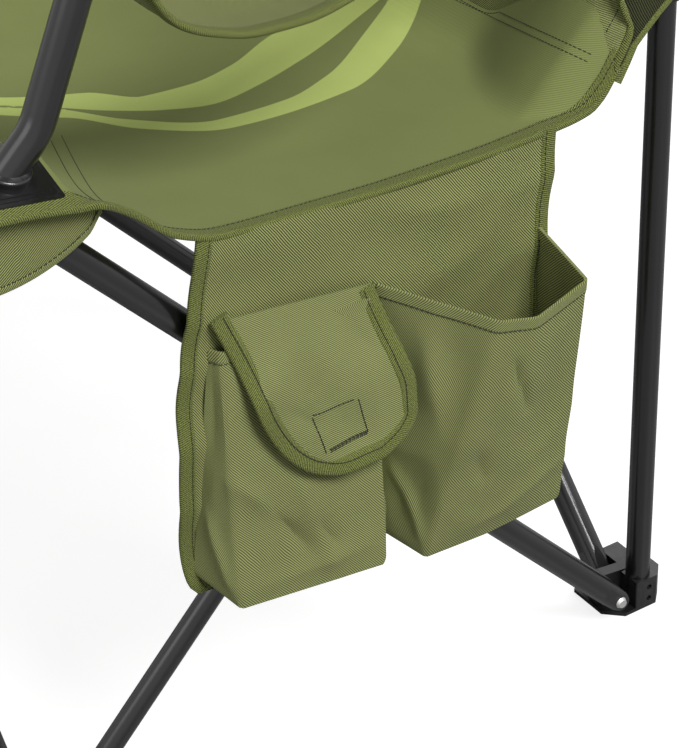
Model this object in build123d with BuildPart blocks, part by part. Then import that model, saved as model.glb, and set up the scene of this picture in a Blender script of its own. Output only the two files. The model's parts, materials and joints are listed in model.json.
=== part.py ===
"""Folding camp chair: four scissor pairs between moulded feet, two upright rear posts with sliders,
front corner brackets that carry bent arm posts, and a hammock seat, backrest, armrests and side organiser.

Millimetres. The chair faces -Y, +X is the sitter's left, +Z is up, and the floor is at Z = 0.
"""

from build123d import *
import os
from math import cos, radians, sin, tan

LEFT = 1
RIGHT = -1

# ---- Driving dimensions -------------------------------------------------------------------------
# Scissor frame: the same square base on all four sides
pivot_base = 455.0            # from foot pivot to foot pivot, sideways and front to back
scissor_angle = 46.7          # lean of every leg above the floor when the chair is open
outer_leg_diameter = 19.0     # side legs from the rear feet
inner_leg_diameter = 15.5     # side legs from the front feet
cross_leg_diameter = 19.0     # legs of the rear and front scissors
leg_wall = 1.0
leg_nose_radius = 8.0         # rounded end round each end pivot
leg_taper_length = 26.0
leg_flat_depth = 1.0          # how far each end is pressed flat, on either side
leg_flat_length = 18.0
leg_swell_length = 8.0        # from the flat end to the full round
leg_plug_length = 40.0        # solid stretch at each end
tube_gap = 0.3                # between two legs that cross
running_gap = 0.3             # between a leg's flat end and what it turns against

# Pivots
side_pivot_height = 22.0
cross_pivot_height = 15.7
side_pivot_setback = 29.0     # side pivots ahead of the rear post's axis
cross_inset = 27.3            # cross-leg pivots inboard of the rear post's axis
outer_leg_offset = 8.6        # plane of the outer side leg, outboard of the post's axis
back_from_left_setback = 13.5  # plane of the rear cross leg from the left foot, ahead of the post

# Rivets
rivet_radius = 2.5
rivet_clearance = 0.05
rivet_head_radius = 4.5
rivet_head_height = 2.2
rivet_tail_radius = 4.0
rivet_tail_height = 1.5

# Rear posts and their caps
post_diameter = 18.0
post_wall = 1.2
post_top = 930.0
post_clearance = 0.05
cap_radius = 10.5
cap_height = 5.0
cap_plug_length = 15.0

# Feet
foot_height = 25.8
foot_base = 3.0
foot_outer = 10.5             # outer face, outboard of the post's axis
foot_inboard = 38.3
foot_front = 31.5             # front edge of the base, ahead of the post's axis
foot_rear = 18.8
foot_chamfer = 9.0
socket_floor = 4.0
web_inner = 17.6              # faces of the web under the outer leg, inboard of the post's axis
web_outer = 8.4
pin_hole_radius = 2.2
pin_hole_heights = (7.5, 17.5)
pin_hole_setback = 3.0
ear_radius = 7.5
ear_thickness = 8.3
front_foot_base = 5.0
front_foot_half_depth = 22.0
front_foot_lip = 3.0          # base outboard of its outer cheek
front_foot_corner = 6.0
cheek_thickness = 7.4
cheek_half_depth = 14.0       # where the cheek and the web of a front foot meet its base
web_half_depth = 18.0

# Sliders on the rear posts
slider_clearance = 0.1
slider_radius = 13.5
slider_below = 15.0           # sleeve below and above the side pivot
slider_above = 26.0

# Front corners
bracket_cheek = 4.0
bracket_front = 13.0          # bracket ahead of and behind the front pivot
bracket_rear = 10.0
bracket_roof_gap = 0.6
bracket_height = 13.0         # top of the bracket above the pivot, before its sloped cut
plate_size = 50.0
plate_thickness = 3.0
plate_step = 0.5              # each raised rim line
plate_rim = 3.0
plate_lean_out = 17.4         # how far the plate leans outboard and rearward, in degrees
plate_lean_back = 10.4
plate_centre = (11.4, -473.5, 521.0)   # offset outboard, setback from the post (negative ahead), height
seat_fabric_gap = 0.8         # room for the seat fabric under the plate
collar_radius = 14.5
collar_height = 4.5

# Arm posts
arm_post_diameter = 20.4
arm_post_wall = 1.2
arm_bend = (10.5, -452.5, 540.0)
arm_post_lean = 0.48          # rearward run for each unit of height above the bend
arm_post_tuck = 0.07          # inboard run for each unit of height above the bend
arm_bend_radius = 42.0
arm_top = 662.0
arm_cap_radius = 15.0
arm_cap_stem = 4.0
arm_cap_stem_length = 5.0

# Seat, backrest and armrests
fabric_thickness = 3.0
seat_front = -497.0
seat_rear = -52.3
seat_over_leg = 6.0           # fabric above the inner leg where it drapes over it
seat_corner_reach = 43.0      # front corners, outboard of the post's axis
seat_over_cross_leg = 1.5     # fabric above the ends of the front cross legs
corner_cut_inboard = 41.0     # the front corners are open round each plate and bracket
corner_cut_rear = -440.0
back_throat_inset = 42.0      # lower part of the backrest, between the sliders
back_over_slider = 5.0        # lower edge of the backrest's wide part above the slider
back_edge_inset = 11.0
back_bulge = 34.0             # how far the middle hangs back behind the posts
sleeve_bore = 19.2
sleeve_diameter = 25.2
sleeve_bottom = 740.0
back_below_post_top = 5.0
arm_band_inner = 84.0         # inboard edge of the armrest, inboard of the post's axis
arm_band_thickness = 4.0
arm_ring_height = 30.0
arm_ring_bottom = 702.0
arm_ring_gap = 4.0            # backrest's notch above and below the armrest's ring
arm_tab_half_length = 14.0    # flat end of the armrest round the arm post's top
arm_tab_reach = 12.0

# Front corner flaps
flap_offset = 30.0
corner_flap_drop = 60.0
corner_flap_reach = 68.0
corner_flap_wall = 2.0
corner_flap_front = -507.0

# Side organiser
panel_offset = 22.4
panel_thickness = 2.0
panel_front = -389.0
panel_rear = -104.0
panel_top = 438.0
panel_bottom = 182.0
panel_corner_inset = 38.0     # front edge of the panel leans back to its upper corner
panel_waist_drop = 98.0
panel_waist_inset = 12.0
panel_rear_drop = 70.0
panel_rear_inset = 8.0
pocket_wall = 1.5
flap_pocket_front = -389.0
flap_pocket_rear = -243.0
flap_pocket_floor = 211.0     # at the panel
flap_pocket_floor_fall = 18.0  # outer edge of the floor below that
flap_pocket_rim = 371.0
flap_pocket_rim_fall = 0.5
flap_pocket_depth = 29.0      # at its floor
flap_pocket_mouth = 7.5       # at its rim
flap_pocket_corner = 17.0     # outer corners of the floor in from its ends at the panel
flap_pocket_lean = 24.0       # front end of the rim behind the front end of the floor
open_pocket_front = -241.0
open_pocket_rear = -116.0
open_pocket_floor = 182.0
open_pocket_floor_fall = 6.0
open_pocket_rim = 372.0
open_pocket_rim_fall = 19.0
open_pocket_depth = 30.0
open_pocket_mouth = 48.0
open_pocket_corner = 12.0
open_pocket_splay = 55.0      # outer front corner of the mouth behind its end at the panel
cover_front = -359.0          # pocket flap: its hinge line and its tongue
cover_rear = -247.0
cover_hinge_height = 388.0
cover_length = 124.0
cover_standoff = 4.4          # hinge line outboard of the panel's outer face, clear of the cover as it turns
cover_lean = 11.7
cover_rear_taper = 19.0       # lower corners of the tongue in from its ends at the hinge
cover_front_taper = 30.0
cover_rear_round = 26.0
cover_front_round = 44.0
cover_thickness = 2.0

# ---- Derived sizes ------------------------------------------------------------------------------
lean = radians(scissor_angle)
rise = pivot_base * tan(lean)
leg_length = pivot_base / cos(lean)
half_width = pivot_base / 2 + cross_inset
front_pivot = -(side_pivot_setback + pivot_base)
inner_leg_offset = outer_leg_offset - (outer_leg_diameter + inner_leg_diameter) / 2 - tube_gap
cross_spacing = cross_leg_diameter + tube_gap
back_from_left = -back_from_left_setback
back_from_right = back_from_left + cross_spacing
front_from_left = front_pivot - cross_spacing / 2
front_from_right = front_pivot + cross_spacing / 2
side_pivot_top = side_pivot_height + rise
cross_pivot_top = cross_pivot_height + rise
rivet_hole_radius = rivet_radius + rivet_clearance
cross_flat = cross_leg_diameter / 2 - leg_flat_depth + running_gap
outer_flat = outer_leg_diameter / 2 - leg_flat_depth + running_gap
inner_flat = inner_leg_diameter / 2 - leg_flat_depth + running_gap
panel_face = panel_offset + panel_thickness
back_top = post_top - back_below_post_top
back_throat_top = side_pivot_top + slider_above + back_over_slider

# The origin is under the middle of the whole chair's box: the organiser widens it to the left,
# and the seat's front corners reach out on both sides.
mid_x = -(panel_face + open_pocket_mouth - seat_corner_reach) / 2
rear_y = -(corner_flap_front - corner_flap_wall / 2 + back_bulge + fabric_thickness) / 2


def across(side, offset):
    """Row X of a point that lies offset outboard of one side's post axis."""
    return mid_x + side * (half_width + offset)


def along(setback):
    """Row Y of a point behind the rear posts' axes (negative is ahead of them)."""
    return rear_y + setback


def at_x(x):
    """Plane across X whose sketch axes are Y and Z."""
    return Plane.YZ.offset(x)


def at_y(y):
    """Plane across Y whose sketch axes are X and Z; a negative extrusion goes towards +Y."""
    return Plane.XZ.offset(-y)


def finish(part, name):
    """Labels a finished piece and writes it."""
    part.label = name
    export_step(part, f"parts/{name}.step")


# ---- Frame pieces -------------------------------------------------------------------------------
def scissor_leg(foot, top, axis, diameter):
    """A round tube between two end pivots, pressed flat and rounded at both ends, with three rivet holes."""
    run = top - foot
    end_on = Plane(origin=foot, x_dir=axis, z_dir=run)
    side_on = Plane(origin=foot, x_dir=run, z_dir=axis)
    edge_on = Plane(origin=foot, x_dir=run, z_dir=side_on.y_dir)
    half_flat = diameter / 2 - leg_flat_depth
    swell = leg_flat_length + leg_swell_length
    upper = [
        (-leg_nose_radius, half_flat),
        (leg_flat_length, half_flat),
        (swell, diameter),
        (leg_length - swell, diameter),
        (leg_length - leg_flat_length, half_flat),
        (leg_length + leg_nose_radius, half_flat),
    ]
    with BuildPart() as leg:
        with BuildSketch(end_on.offset(-leg_nose_radius)):
            Circle(diameter / 2)
        extrude(amount=leg_length + 2 * leg_nose_radius)
        with BuildSketch(side_on):
            with Locations((0, 0), (leg_length, 0)):
                Circle(leg_nose_radius)
            with Locations((leg_length / 2, 0)):
                Rectangle(leg_length - 2 * leg_taper_length, diameter + 1)
            make_hull()
        extrude(amount=diameter, both=True, mode=Mode.INTERSECT)
        with BuildSketch(edge_on):
            Polygon(*upper, *[(x, -y) for x, y in reversed(upper)], align=None)
        extrude(amount=diameter, both=True, mode=Mode.INTERSECT)
        with BuildSketch(end_on.offset(leg_plug_length)):
            Circle(diameter / 2 - leg_wall)
        extrude(amount=leg_length - 2 * leg_plug_length, mode=Mode.SUBTRACT)
        with BuildSketch(side_on):
            with Locations((0, 0), (leg_length / 2, 0), (leg_length, 0)):
                Circle(rivet_hole_radius)
        extrude(amount=diameter, both=True, mode=Mode.SUBTRACT)
    return leg.part


def add_rivet(head_plane, grip, tail=rivet_tail_height):
    """Adds a rivet to the part being built: its head stands on head_plane, its shank runs back by grip."""
    with BuildSketch(head_plane) as head:
        Circle(rivet_head_radius)
    extrude(head.sketch, amount=rivet_head_height, taper=30)
    with BuildSketch(head_plane) as shank:
        Circle(rivet_radius)
    extrude(shank.sketch, amount=-(grip + tail))
    if tail:
        with BuildSketch(head_plane.offset(-grip)) as tail_end:
            Circle(rivet_tail_radius)
        extrude(tail_end.sketch, amount=-tail)


def outward_plane(side, offset, setback, height):
    """Plane across X at one side, facing outboard."""
    return Plane(origin=(across(side, offset), along(setback), height), x_dir=(0, 1, 0), z_dir=(side, 0, 0))


def fore_aft_plane(direction, offset_x, setback, height):
    """Plane across Y, facing front (-1) or rear (1)."""
    return Plane(origin=(offset_x, along(setback), height), x_dir=(1, 0, 0), z_dir=(0, direction, 0))


def add_ear(plane, centre, block_centre, block_size, depth):
    """Adds a rounded ear to the part being built: the hull of a circle at the pivot and a block that
    carries it, extruded by depth."""
    with BuildSketch(plane) as ear:
        with Locations(centre):
            Circle(ear_radius)
        with Locations(block_centre):
            Rectangle(*block_size)
        make_hull()
    extrude(ear.sketch, amount=depth)


def drill_x(side, setback, height, depth):
    """Cuts a rivet hole through the part being built, along X."""
    with BuildSketch(outward_plane(side, 0, setback, height)) as hole:
        Circle(rivet_hole_radius)
    extrude(hole.sketch, amount=depth, both=True, mode=Mode.SUBTRACT)


def drill_y(side, setback, height, depth):
    """Cuts a rivet hole through the part being built, along Y, at the cross-leg pivot's place."""
    with BuildSketch(fore_aft_plane(1, across(side, -cross_inset), setback, height)) as hole:
        Circle(rivet_hole_radius)
    extrude(hole.sketch, amount=depth, both=True, mode=Mode.SUBTRACT)


def rear_foot(side, ear_face, ear_back):
    """Moulded rear foot: post socket, web under the outer leg, and an ear for the cross leg."""
    plan = [
        (-foot_inboard + 4, -foot_front),
        (-2.0, -foot_front),
        (foot_outer, -foot_front + 13),
        (foot_outer, foot_rear - foot_chamfer),
        (foot_outer - foot_chamfer, foot_rear),
        (-web_inner, foot_rear),
        (-foot_inboard + 5, foot_rear - 5),
        (-foot_inboard, foot_rear - 10),
        (-foot_inboard, -foot_front + 5),
    ]
    block = [
        (foot_outer, -post_diameter / 2),
        (foot_outer, foot_rear - foot_chamfer),
        (foot_outer - foot_chamfer, foot_rear),
        (-web_inner, foot_rear),
        (-web_inner, -post_diameter / 2),
    ]
    with BuildPart() as foot:
        with BuildSketch():
            Polygon(*[(across(side, x), along(y)) for x, y in plan], align=None)
        extrude(amount=foot_base)
        with BuildSketch() as footprint:
            Polygon(*[(across(side, x), along(y)) for x, y in block], align=None)
            fillet(footprint.vertices(), radius=1.2)
        extrude(amount=foot_height)
        add_ear(
            at_x(across(side, -web_inner)),
            (along(-side_pivot_setback), side_pivot_height),
            (along(-side_pivot_setback / 2), foot_height / 2),
            (side_pivot_setback, foot_height),
            side * (web_inner - web_outer),
        )
        with BuildSketch(outward_plane(side, -web_outer, -side_pivot_setback, side_pivot_height)):
            Circle(ear_radius)
        extrude(amount=web_outer + outer_leg_offset - outer_flat)
        add_ear(
            at_y(along(ear_face)),
            (across(side, -cross_inset), cross_pivot_height),
            (across(side, -(foot_inboard + web_inner) / 2), foot_height / 2),
            (foot_inboard - web_inner, foot_height),
            ear_face - ear_back,
        )
        with BuildSketch(Plane.XY.offset(socket_floor)):
            with Locations((across(side, 0), along(0))):
                Circle(post_diameter / 2 + post_clearance)
        extrude(amount=foot_height, mode=Mode.SUBTRACT)
        for height in pin_hole_heights:
            with BuildSketch(outward_plane(side, 0, pin_hole_setback, height)):
                Circle(pin_hole_radius)
            extrude(amount=foot_outer + 1, mode=Mode.SUBTRACT)
        drill_x(side, -side_pivot_setback, side_pivot_height, foot_inboard)
        drill_y(side, ear_face, cross_pivot_height, foot_rear)
    return foot.part


def front_foot(side, ear_side):
    """Moulded front foot: a clevis for the inner side leg and an ear for the cross leg, which stands
    behind that leg's plane (ear_side 1) or ahead of it (ear_side -1)."""
    cheek_face = inner_leg_offset + inner_flat
    web_face = inner_leg_offset - inner_flat
    web_back = -cross_inset + leg_nose_radius + running_gap
    outer_face = cheek_face + cheek_thickness
    base_outer = outer_face + front_foot_lip
    ear_face = -ear_side * (cross_spacing / 2 - cross_flat)
    with BuildPart() as foot:
        with BuildSketch() as footprint:
            with Locations((across(side, (base_outer - foot_inboard) / 2), along(front_pivot))):
                Rectangle(foot_inboard + base_outer, 2 * front_foot_half_depth)
            fillet(footprint.vertices(), radius=front_foot_corner)
        extrude(amount=front_foot_base)
        for face, back, half_depth in (
            (cheek_face, outer_face, cheek_half_depth),
            (web_face, web_back, web_half_depth),
        ):
            add_ear(
                at_x(across(side, face)),
                (along(front_pivot), side_pivot_height),
                (along(front_pivot), front_foot_base / 2),
                (2 * half_depth, front_foot_base),
                side * (back - face),
            )
        add_ear(
            at_y(along(front_pivot + ear_face)),
            (across(side, -cross_inset), cross_pivot_height),
            (across(side, -(foot_inboard - web_back) / 2), front_foot_base / 2),
            (foot_inboard + web_back, front_foot_base),
            -ear_side * ear_thickness,
        )
        drill_x(side, front_pivot, side_pivot_height, foot_inboard)
        drill_y(side, front_pivot, cross_pivot_height, foot_rear)
    return foot.part


def rear_slider(side, ear_face, ear_direction):
    """Moulded sleeve that runs on a rear post, with ears for the inner side leg and the cross leg."""
    bottom = side_pivot_top - slider_below
    sleeve_height = slider_below + slider_above
    cheek_face = inner_leg_offset + inner_flat
    with BuildPart() as slider:
        with BuildSketch(Plane.XY.offset(bottom)):
            with Locations((across(side, 0), along(0))):
                Circle(slider_radius)
        extrude(amount=sleeve_height)
        fillet(slider.edges().filter_by(GeomType.CIRCLE), radius=1.5)
        add_ear(
            at_x(across(side, cheek_face)),
            (along(-side_pivot_setback), side_pivot_top),
            (along(-slider_radius / 2), side_pivot_top),
            (slider_radius / 2, 2 * slider_below - 2),
            side * cheek_thickness,
        )
        add_ear(
            at_y(along(ear_face)),
            (across(side, -cross_inset), cross_pivot_top),
            (across(side, -slider_radius / 2), side_pivot_top - 1),
            (slider_radius / 2, 2 * slider_below - 4),
            -ear_direction * ear_thickness,
        )
        with BuildSketch(Plane.XY.offset(bottom - 1)):
            with Locations((across(side, 0), along(0))):
                Circle(post_diameter / 2 + slider_clearance)
        extrude(amount=sleeve_height + 2, mode=Mode.SUBTRACT)
        drill_x(side, -side_pivot_setback, side_pivot_top, foot_inboard)
        drill_y(side, ear_face, cross_pivot_top, ear_thickness + 1)
    return slider.part


def plate_plane(side, depth=0.0):
    """The sloped top face of a corner plate, or a plane that far under it."""
    offset, setback, height = plate_centre
    out = tan(radians(plate_lean_out))
    back = tan(radians(plate_lean_back))
    top = Plane(
        origin=(across(side, offset), along(setback), height),
        x_dir=(side, 0, -out),
        z_dir=(side * out, back, 1),
    )
    return top.offset(-depth)


def arm_post_points(side):
    """Lower end, bend and upper end of an arm post's axis."""
    seat = Vector(across(side, plate_centre[0]), along(plate_centre[1]), plate_centre[2])
    bend = Vector(across(side, arm_bend[0]), along(arm_bend[1]), arm_bend[2])
    climb = arm_top + arm_post_diameter - arm_bend[2]
    top = bend + Vector(-side * arm_post_tuck * climb, arm_post_lean * climb, climb)
    return seat - (bend - seat), bend, top


def front_bracket(side, ear_side):
    """Moulded bracket under the seat's front corner: a clevis for the outer side leg's top, an ear for the
    cross leg's top, and a sloped roof that the plate and the arm post stand on."""
    cheeks = (outer_leg_offset - outer_flat - bracket_cheek, outer_leg_offset + outer_flat)
    roof = leg_nose_radius + bracket_roof_gap
    ear_face = -ear_side * (cross_spacing / 2 - cross_flat)
    depth = bracket_front + bracket_rear
    middle = front_pivot + (bracket_rear - bracket_front) / 2
    roof_outer = cheeks[1] + bracket_cheek
    with BuildPart() as bracket:
        for inner_face in cheeks:
            add_ear(
                at_x(across(side, inner_face)),
                (along(front_pivot), side_pivot_top),
                (along(middle), side_pivot_top + (roof + bracket_height) / 2),
                (depth, bracket_height - roof),
                side * bracket_cheek,
            )
        with BuildSketch(Plane.XY.offset(side_pivot_top + roof)):
            with Locations((across(side, (roof_outer - foot_inboard) / 2), along(middle))):
                Rectangle(roof_outer + foot_inboard, depth)
        extrude(amount=bracket_height - roof)
        add_ear(
            at_y(along(front_pivot + ear_face)),
            (across(side, -cross_inset), cross_pivot_top),
            (across(side, -(foot_inboard + web_inner) / 2), side_pivot_top + roof),
            (foot_inboard - web_inner, 2.0),
            -ear_side * ear_thickness,
        )
        split(bisect_by=plate_plane(side, plate_thickness + seat_fabric_gap), keep=Keep.BOTTOM)
        drill_x(side, front_pivot, side_pivot_top, foot_inboard)
        drill_y(side, front_pivot, cross_pivot_top, foot_rear)
    return bracket.part


def front_plate(side):
    """Square cover plate with two stepped rims, and a collar round the slanted arm post."""
    low, bend, _ = arm_post_points(side)
    with BuildPart() as plate:
        for step in range(3):
            width = plate_size - 2 * plate_rim * step
            with BuildSketch(plate_plane(side, plate_thickness)) as face:
                Rectangle(width, width)
                fillet(face.vertices(), radius=1.5)
            extrude(amount=plate_thickness - plate_step * (2 - step))
        with BuildSketch(plate_plane(side, plate_thickness + seat_fabric_gap)):
            Circle(collar_radius)
        extrude(amount=plate_thickness + seat_fabric_gap + collar_height)
        rim = plate.edges().filter_by(GeomType.CIRCLE).sort_by(SortBy.RADIUS)[-2:]
        fillet(rim.sort_by(Axis.Z)[-1], radius=1.5)
        with BuildSketch(Plane(origin=low, z_dir=bend - low)):
            Circle(arm_post_diameter / 2 + post_clearance)
        extrude(amount=(bend - low).length, mode=Mode.SUBTRACT)
    return plate.part


def arm_post(side):
    """Bent tube that stands on the front bracket, leans back and carries the armrest's front end."""
    low, bend, top = arm_post_points(side)
    with BuildPart() as post:
        with BuildLine() as route:
            FilletPolyline(low, bend, top, radius=arm_bend_radius)
        with BuildSketch(Plane(origin=low, z_dir=bend - low)):
            Circle(arm_post_diameter / 2)
            Circle(arm_post_diameter / 2 - arm_post_wall, mode=Mode.SUBTRACT)
        sweep(path=route.wire())
        split(bisect_by=plate_plane(side, plate_thickness + seat_fabric_gap), keep=Keep.TOP)
        split(bisect_by=Plane.XY.offset(arm_top), keep=Keep.BOTTOM)
    return post.part


def arm_top_centre(side):
    """Centre of the arm post's open upper end."""
    _, bend, _ = arm_post_points(side)
    climb = arm_top - arm_bend[2]
    return bend + Vector(-side * arm_post_tuck * climb, arm_post_lean * climb, climb)


# ---- Feet, posts, sliders, brackets and their rivets --------------------------------------------
os.makedirs("parts", exist_ok=True)

rear_cross_leg = {LEFT: back_from_left, RIGHT: back_from_right}
front_cross_leg = {LEFT: front_from_left, RIGHT: front_from_right}
slider_cross_leg = {LEFT: back_from_right, RIGHT: back_from_left}
rear_ear_side = {LEFT: 1, RIGHT: -1}

for side, hand in ((LEFT, "left"), (RIGHT, "right")):
    # The rear cross leg's ear stands behind its plane at the left foot and ahead of it at the right foot.
    ear_side = rear_ear_side[side]
    foot_ear = rear_cross_leg[side] + ear_side * cross_flat
    foot_ear_back = foot_ear + ear_side * ear_thickness * (2 if side == LEFT else 1)
    finish(rear_foot(side, foot_ear, foot_ear_back), f"rear_{hand}_foot")
    finish(front_foot(side, ear_side), f"front_{hand}_foot")

    # Each slider and front bracket holds the top of the leg from the other side's foot.
    slider_ear = slider_cross_leg[side] - ear_side * cross_flat
    finish(rear_slider(side, slider_ear, -ear_side), f"rear_{hand}_slider")
    finish(front_bracket(side, -ear_side), f"front_{hand}_bracket")
    finish(front_plate(side), f"front_{hand}_plate")
    finish(arm_post(side), f"{hand}_arm_post")

    with BuildPart() as rear_post:
        with BuildSketch(Plane.XY.offset(socket_floor)):
            with Locations((across(side, 0), along(0))):
                Circle(post_diameter / 2)
                Circle(post_diameter / 2 - post_wall, mode=Mode.SUBTRACT)
        extrude(amount=post_top - socket_floor)
    finish(rear_post.part, f"rear_{hand}_post")

    with BuildPart() as rear_cap:
        with BuildSketch(Plane.XY.offset(post_top)):
            with Locations((across(side, 0), along(0))):
                Circle(cap_radius)
        extrude(amount=cap_height)
        fillet(rear_cap.edges().group_by(Axis.Z)[-1], radius=cap_height * 0.6)
        with BuildSketch(Plane.XY.offset(post_top)):
            with Locations((across(side, 0), along(0))):
                Circle(post_diameter / 2 - post_wall - post_clearance)
        extrude(amount=-cap_plug_length)
    finish(rear_cap.part, f"rear_{hand}_cap")

    arm_end = arm_top_centre(side)
    cap_seat = arm_end + Vector(0, 0, arm_band_thickness + 2 * running_gap)
    with BuildPart() as arm_cap:
        with BuildSketch(Plane(origin=cap_seat)):
            Circle(arm_cap_radius)
        extrude(amount=cap_height)
        fillet(arm_cap.edges().group_by(Axis.Z)[-1], radius=cap_height * 0.6)
        with BuildSketch(Plane(origin=cap_seat)):
            Circle(arm_cap_stem)
        extrude(amount=-(arm_band_thickness + 2 * running_gap + arm_cap_stem_length))
    finish(arm_cap.part, f"{hand}_arm_cap")

    # Rivets, one group for each body that carries them
    outer_head = outer_leg_offset + outer_flat
    with BuildPart() as foot_rivets:
        add_rivet(
            outward_plane(side, outer_head, -side_pivot_setback, side_pivot_height),
            outer_head + web_inner,
        )
        cross_head = rear_cross_leg[side] - ear_side * cross_flat
        add_rivet(
            fore_aft_plane(-ear_side, across(side, -cross_inset), cross_head, cross_pivot_height),
            abs(foot_ear_back - cross_head),
        )
    finish(foot_rivets.part, f"rear_{hand}_foot_rivets")

    inner_head = inner_leg_offset + inner_flat + cheek_thickness
    web_back = -cross_inset + leg_nose_radius + running_gap
    with BuildPart() as front_foot_rivets:
        add_rivet(
            outward_plane(side, inner_head, front_pivot, side_pivot_height),
            inner_head - web_back,
            tail=0,
        )
        cross_head = front_cross_leg[side] - ear_side * cross_flat
        add_rivet(
            fore_aft_plane(-ear_side, across(side, -cross_inset), cross_head, cross_pivot_height),
            2 * cross_flat + ear_thickness,
        )
    finish(front_foot_rivets.part, f"front_{hand}_foot_rivets")

    with BuildPart() as slider_rivets:
        add_rivet(
            outward_plane(side, inner_head, -side_pivot_setback, side_pivot_top),
            cheek_thickness + 2 * inner_flat,
        )
        cross_head = slider_cross_leg[side] + ear_side * cross_flat
        add_rivet(
            fore_aft_plane(ear_side, across(side, -cross_inset), cross_head, cross_pivot_top),
            2 * cross_flat + ear_thickness,
        )
    finish(slider_rivets.part, f"rear_{hand}_slider_rivets")

    with BuildPart() as bracket_rivets:
        add_rivet(
            outward_plane(side, outer_head + bracket_cheek, front_pivot, side_pivot_top),
            2 * (outer_flat + bracket_cheek),
        )
        cross_head = front_cross_leg[-side] + ear_side * cross_flat
        add_rivet(
            fore_aft_plane(ear_side, across(side, -cross_inset), cross_head, cross_pivot_top),
            2 * cross_flat + ear_thickness,
        )
    finish(bracket_rivets.part, f"front_{hand}_bracket_rivets")

    # Side scissor
    rear_low = Vector(across(side, outer_leg_offset), along(-side_pivot_setback), side_pivot_height)
    front_high = Vector(across(side, outer_leg_offset), along(front_pivot), side_pivot_top)
    finish(scissor_leg(rear_low, front_high, (1, 0, 0), outer_leg_diameter), f"{hand}_rear_leg")
    front_low = Vector(across(side, inner_leg_offset), along(front_pivot), side_pivot_height)
    rear_high = Vector(across(side, inner_leg_offset), along(-side_pivot_setback), side_pivot_top)
    finish(scissor_leg(front_low, rear_high, (1, 0, 0), inner_leg_diameter), f"{hand}_front_leg")

    crossing = (side_pivot_height + side_pivot_top) / 2
    with BuildPart() as cross_rivet:
        add_rivet(
            outward_plane(
                side,
                outer_leg_offset + outer_leg_diameter / 2 + rivet_clearance,
                front_pivot + pivot_base / 2,
                crossing,
            ),
            outer_leg_diameter + inner_leg_diameter + tube_gap + running_gap + rivet_clearance,
        )
    finish(cross_rivet.part, f"{hand}_cross_rivet")

# ---- Rear and front scissors --------------------------------------------------------------------
for place, from_left, from_right in (
    ("back", back_from_left, back_from_right),
    ("front", front_from_left, front_from_right),
):
    for start, hand, setback in ((LEFT, "left", from_left), (RIGHT, "right", from_right)):
        low = Vector(across(start, -cross_inset), along(setback), cross_pivot_height)
        high = Vector(across(-start, -cross_inset), along(setback), cross_pivot_top)
        finish(scissor_leg(low, high, (0, 1, 0), cross_leg_diameter), f"{place}_leg_from_{hand}")
    crossing = (cross_pivot_height + cross_pivot_top) / 2
    with BuildPart() as cross_rivet:
        add_rivet(
            fore_aft_plane(-1, mid_x, from_left - cross_leg_diameter / 2 - rivet_clearance, crossing),
            2 * cross_leg_diameter + tube_gap + running_gap + rivet_clearance,
        )
    finish(cross_rivet.part, f"{place}_cross_rivet")


# ---- Seat ---------------------------------------------------------------------------------------
def inner_leg_top(setback):
    """Height of the inner side leg's upper surface."""
    return side_pivot_top + inner_leg_diameter / 2 / cos(lean) + (setback + side_pivot_setback) * tan(lean)


def cross_leg_top(inset):
    """Height of a front cross leg's upper surface near its top end, that far inboard of the post's axis."""
    return cross_pivot_top + cross_leg_diameter / 2 / cos(lean) - (inset - cross_inset) * tan(lean)


def seat_heights(setback, edge, edge_height, middle_height):
    """Top surface of the seat across half the chair: (offset, height) from the edge to the middle. It hangs
    in a curve between the edges, and lies over a leg where that comes higher."""
    over_inner_leg = inner_leg_top(setback) + fabric_thickness + seat_over_leg
    over_cross_leg = cross_leg_top(corner_cut_inboard) + fabric_thickness + seat_over_cross_leg
    if setback > front_pivot + cross_leg_diameter:
        over_cross_leg = 0
    reach = inner_leg_diameter / 2
    points = [(edge, edge_height)]
    for offset, least_height in (
        (inner_leg_offset + 1.4 * reach, over_inner_leg - 10.0),
        (inner_leg_offset, over_inner_leg - 2.0),
        (inner_leg_offset - 1.6 * reach, over_inner_leg - 6.0),
        (-corner_cut_inboard, max(over_cross_leg, over_inner_leg - 20.0)),
        (-60.0, over_inner_leg - 37.0),
        (-140.0, over_inner_leg - 50.0),
    ):
        share = (edge - offset) / (half_width + edge)
        hang = edge_height + (middle_height - edge_height) * (1 - (1 - share) ** 2)
        points.append((offset, max(hang, least_height)))
    points.append((-half_width, middle_height))
    return points


# share of the seat's depth from its front, edge offset, and the heights of the edge and of the middle
# above the side pivots' tops
seat_stations = (
    (0.0, seat_corner_reach, 6.1, -26.9),
    (0.063, 40.5, 3.1, -40.9),
    (0.142, 41.0, -3.9, -56.9),
    (0.193, 34.0, -19.9, -64.9),
    (0.268, 26.5, -48.9, -73.9),
    (0.342, panel_offset - 0.4, -62.9, -80.9),
    (0.465, panel_offset - 0.6, -66.9, -87.9),
    (0.668, panel_offset - 0.9, -68.9, -90.9),
    (0.87, 19.0, -68.9, -80.9),
    (0.911, 17.0, -66.4, -75.9),
    (0.949, 15.5, -61.9, -70.9),
    (1.0, 14.0, -42.9, -58.9),
)

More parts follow.
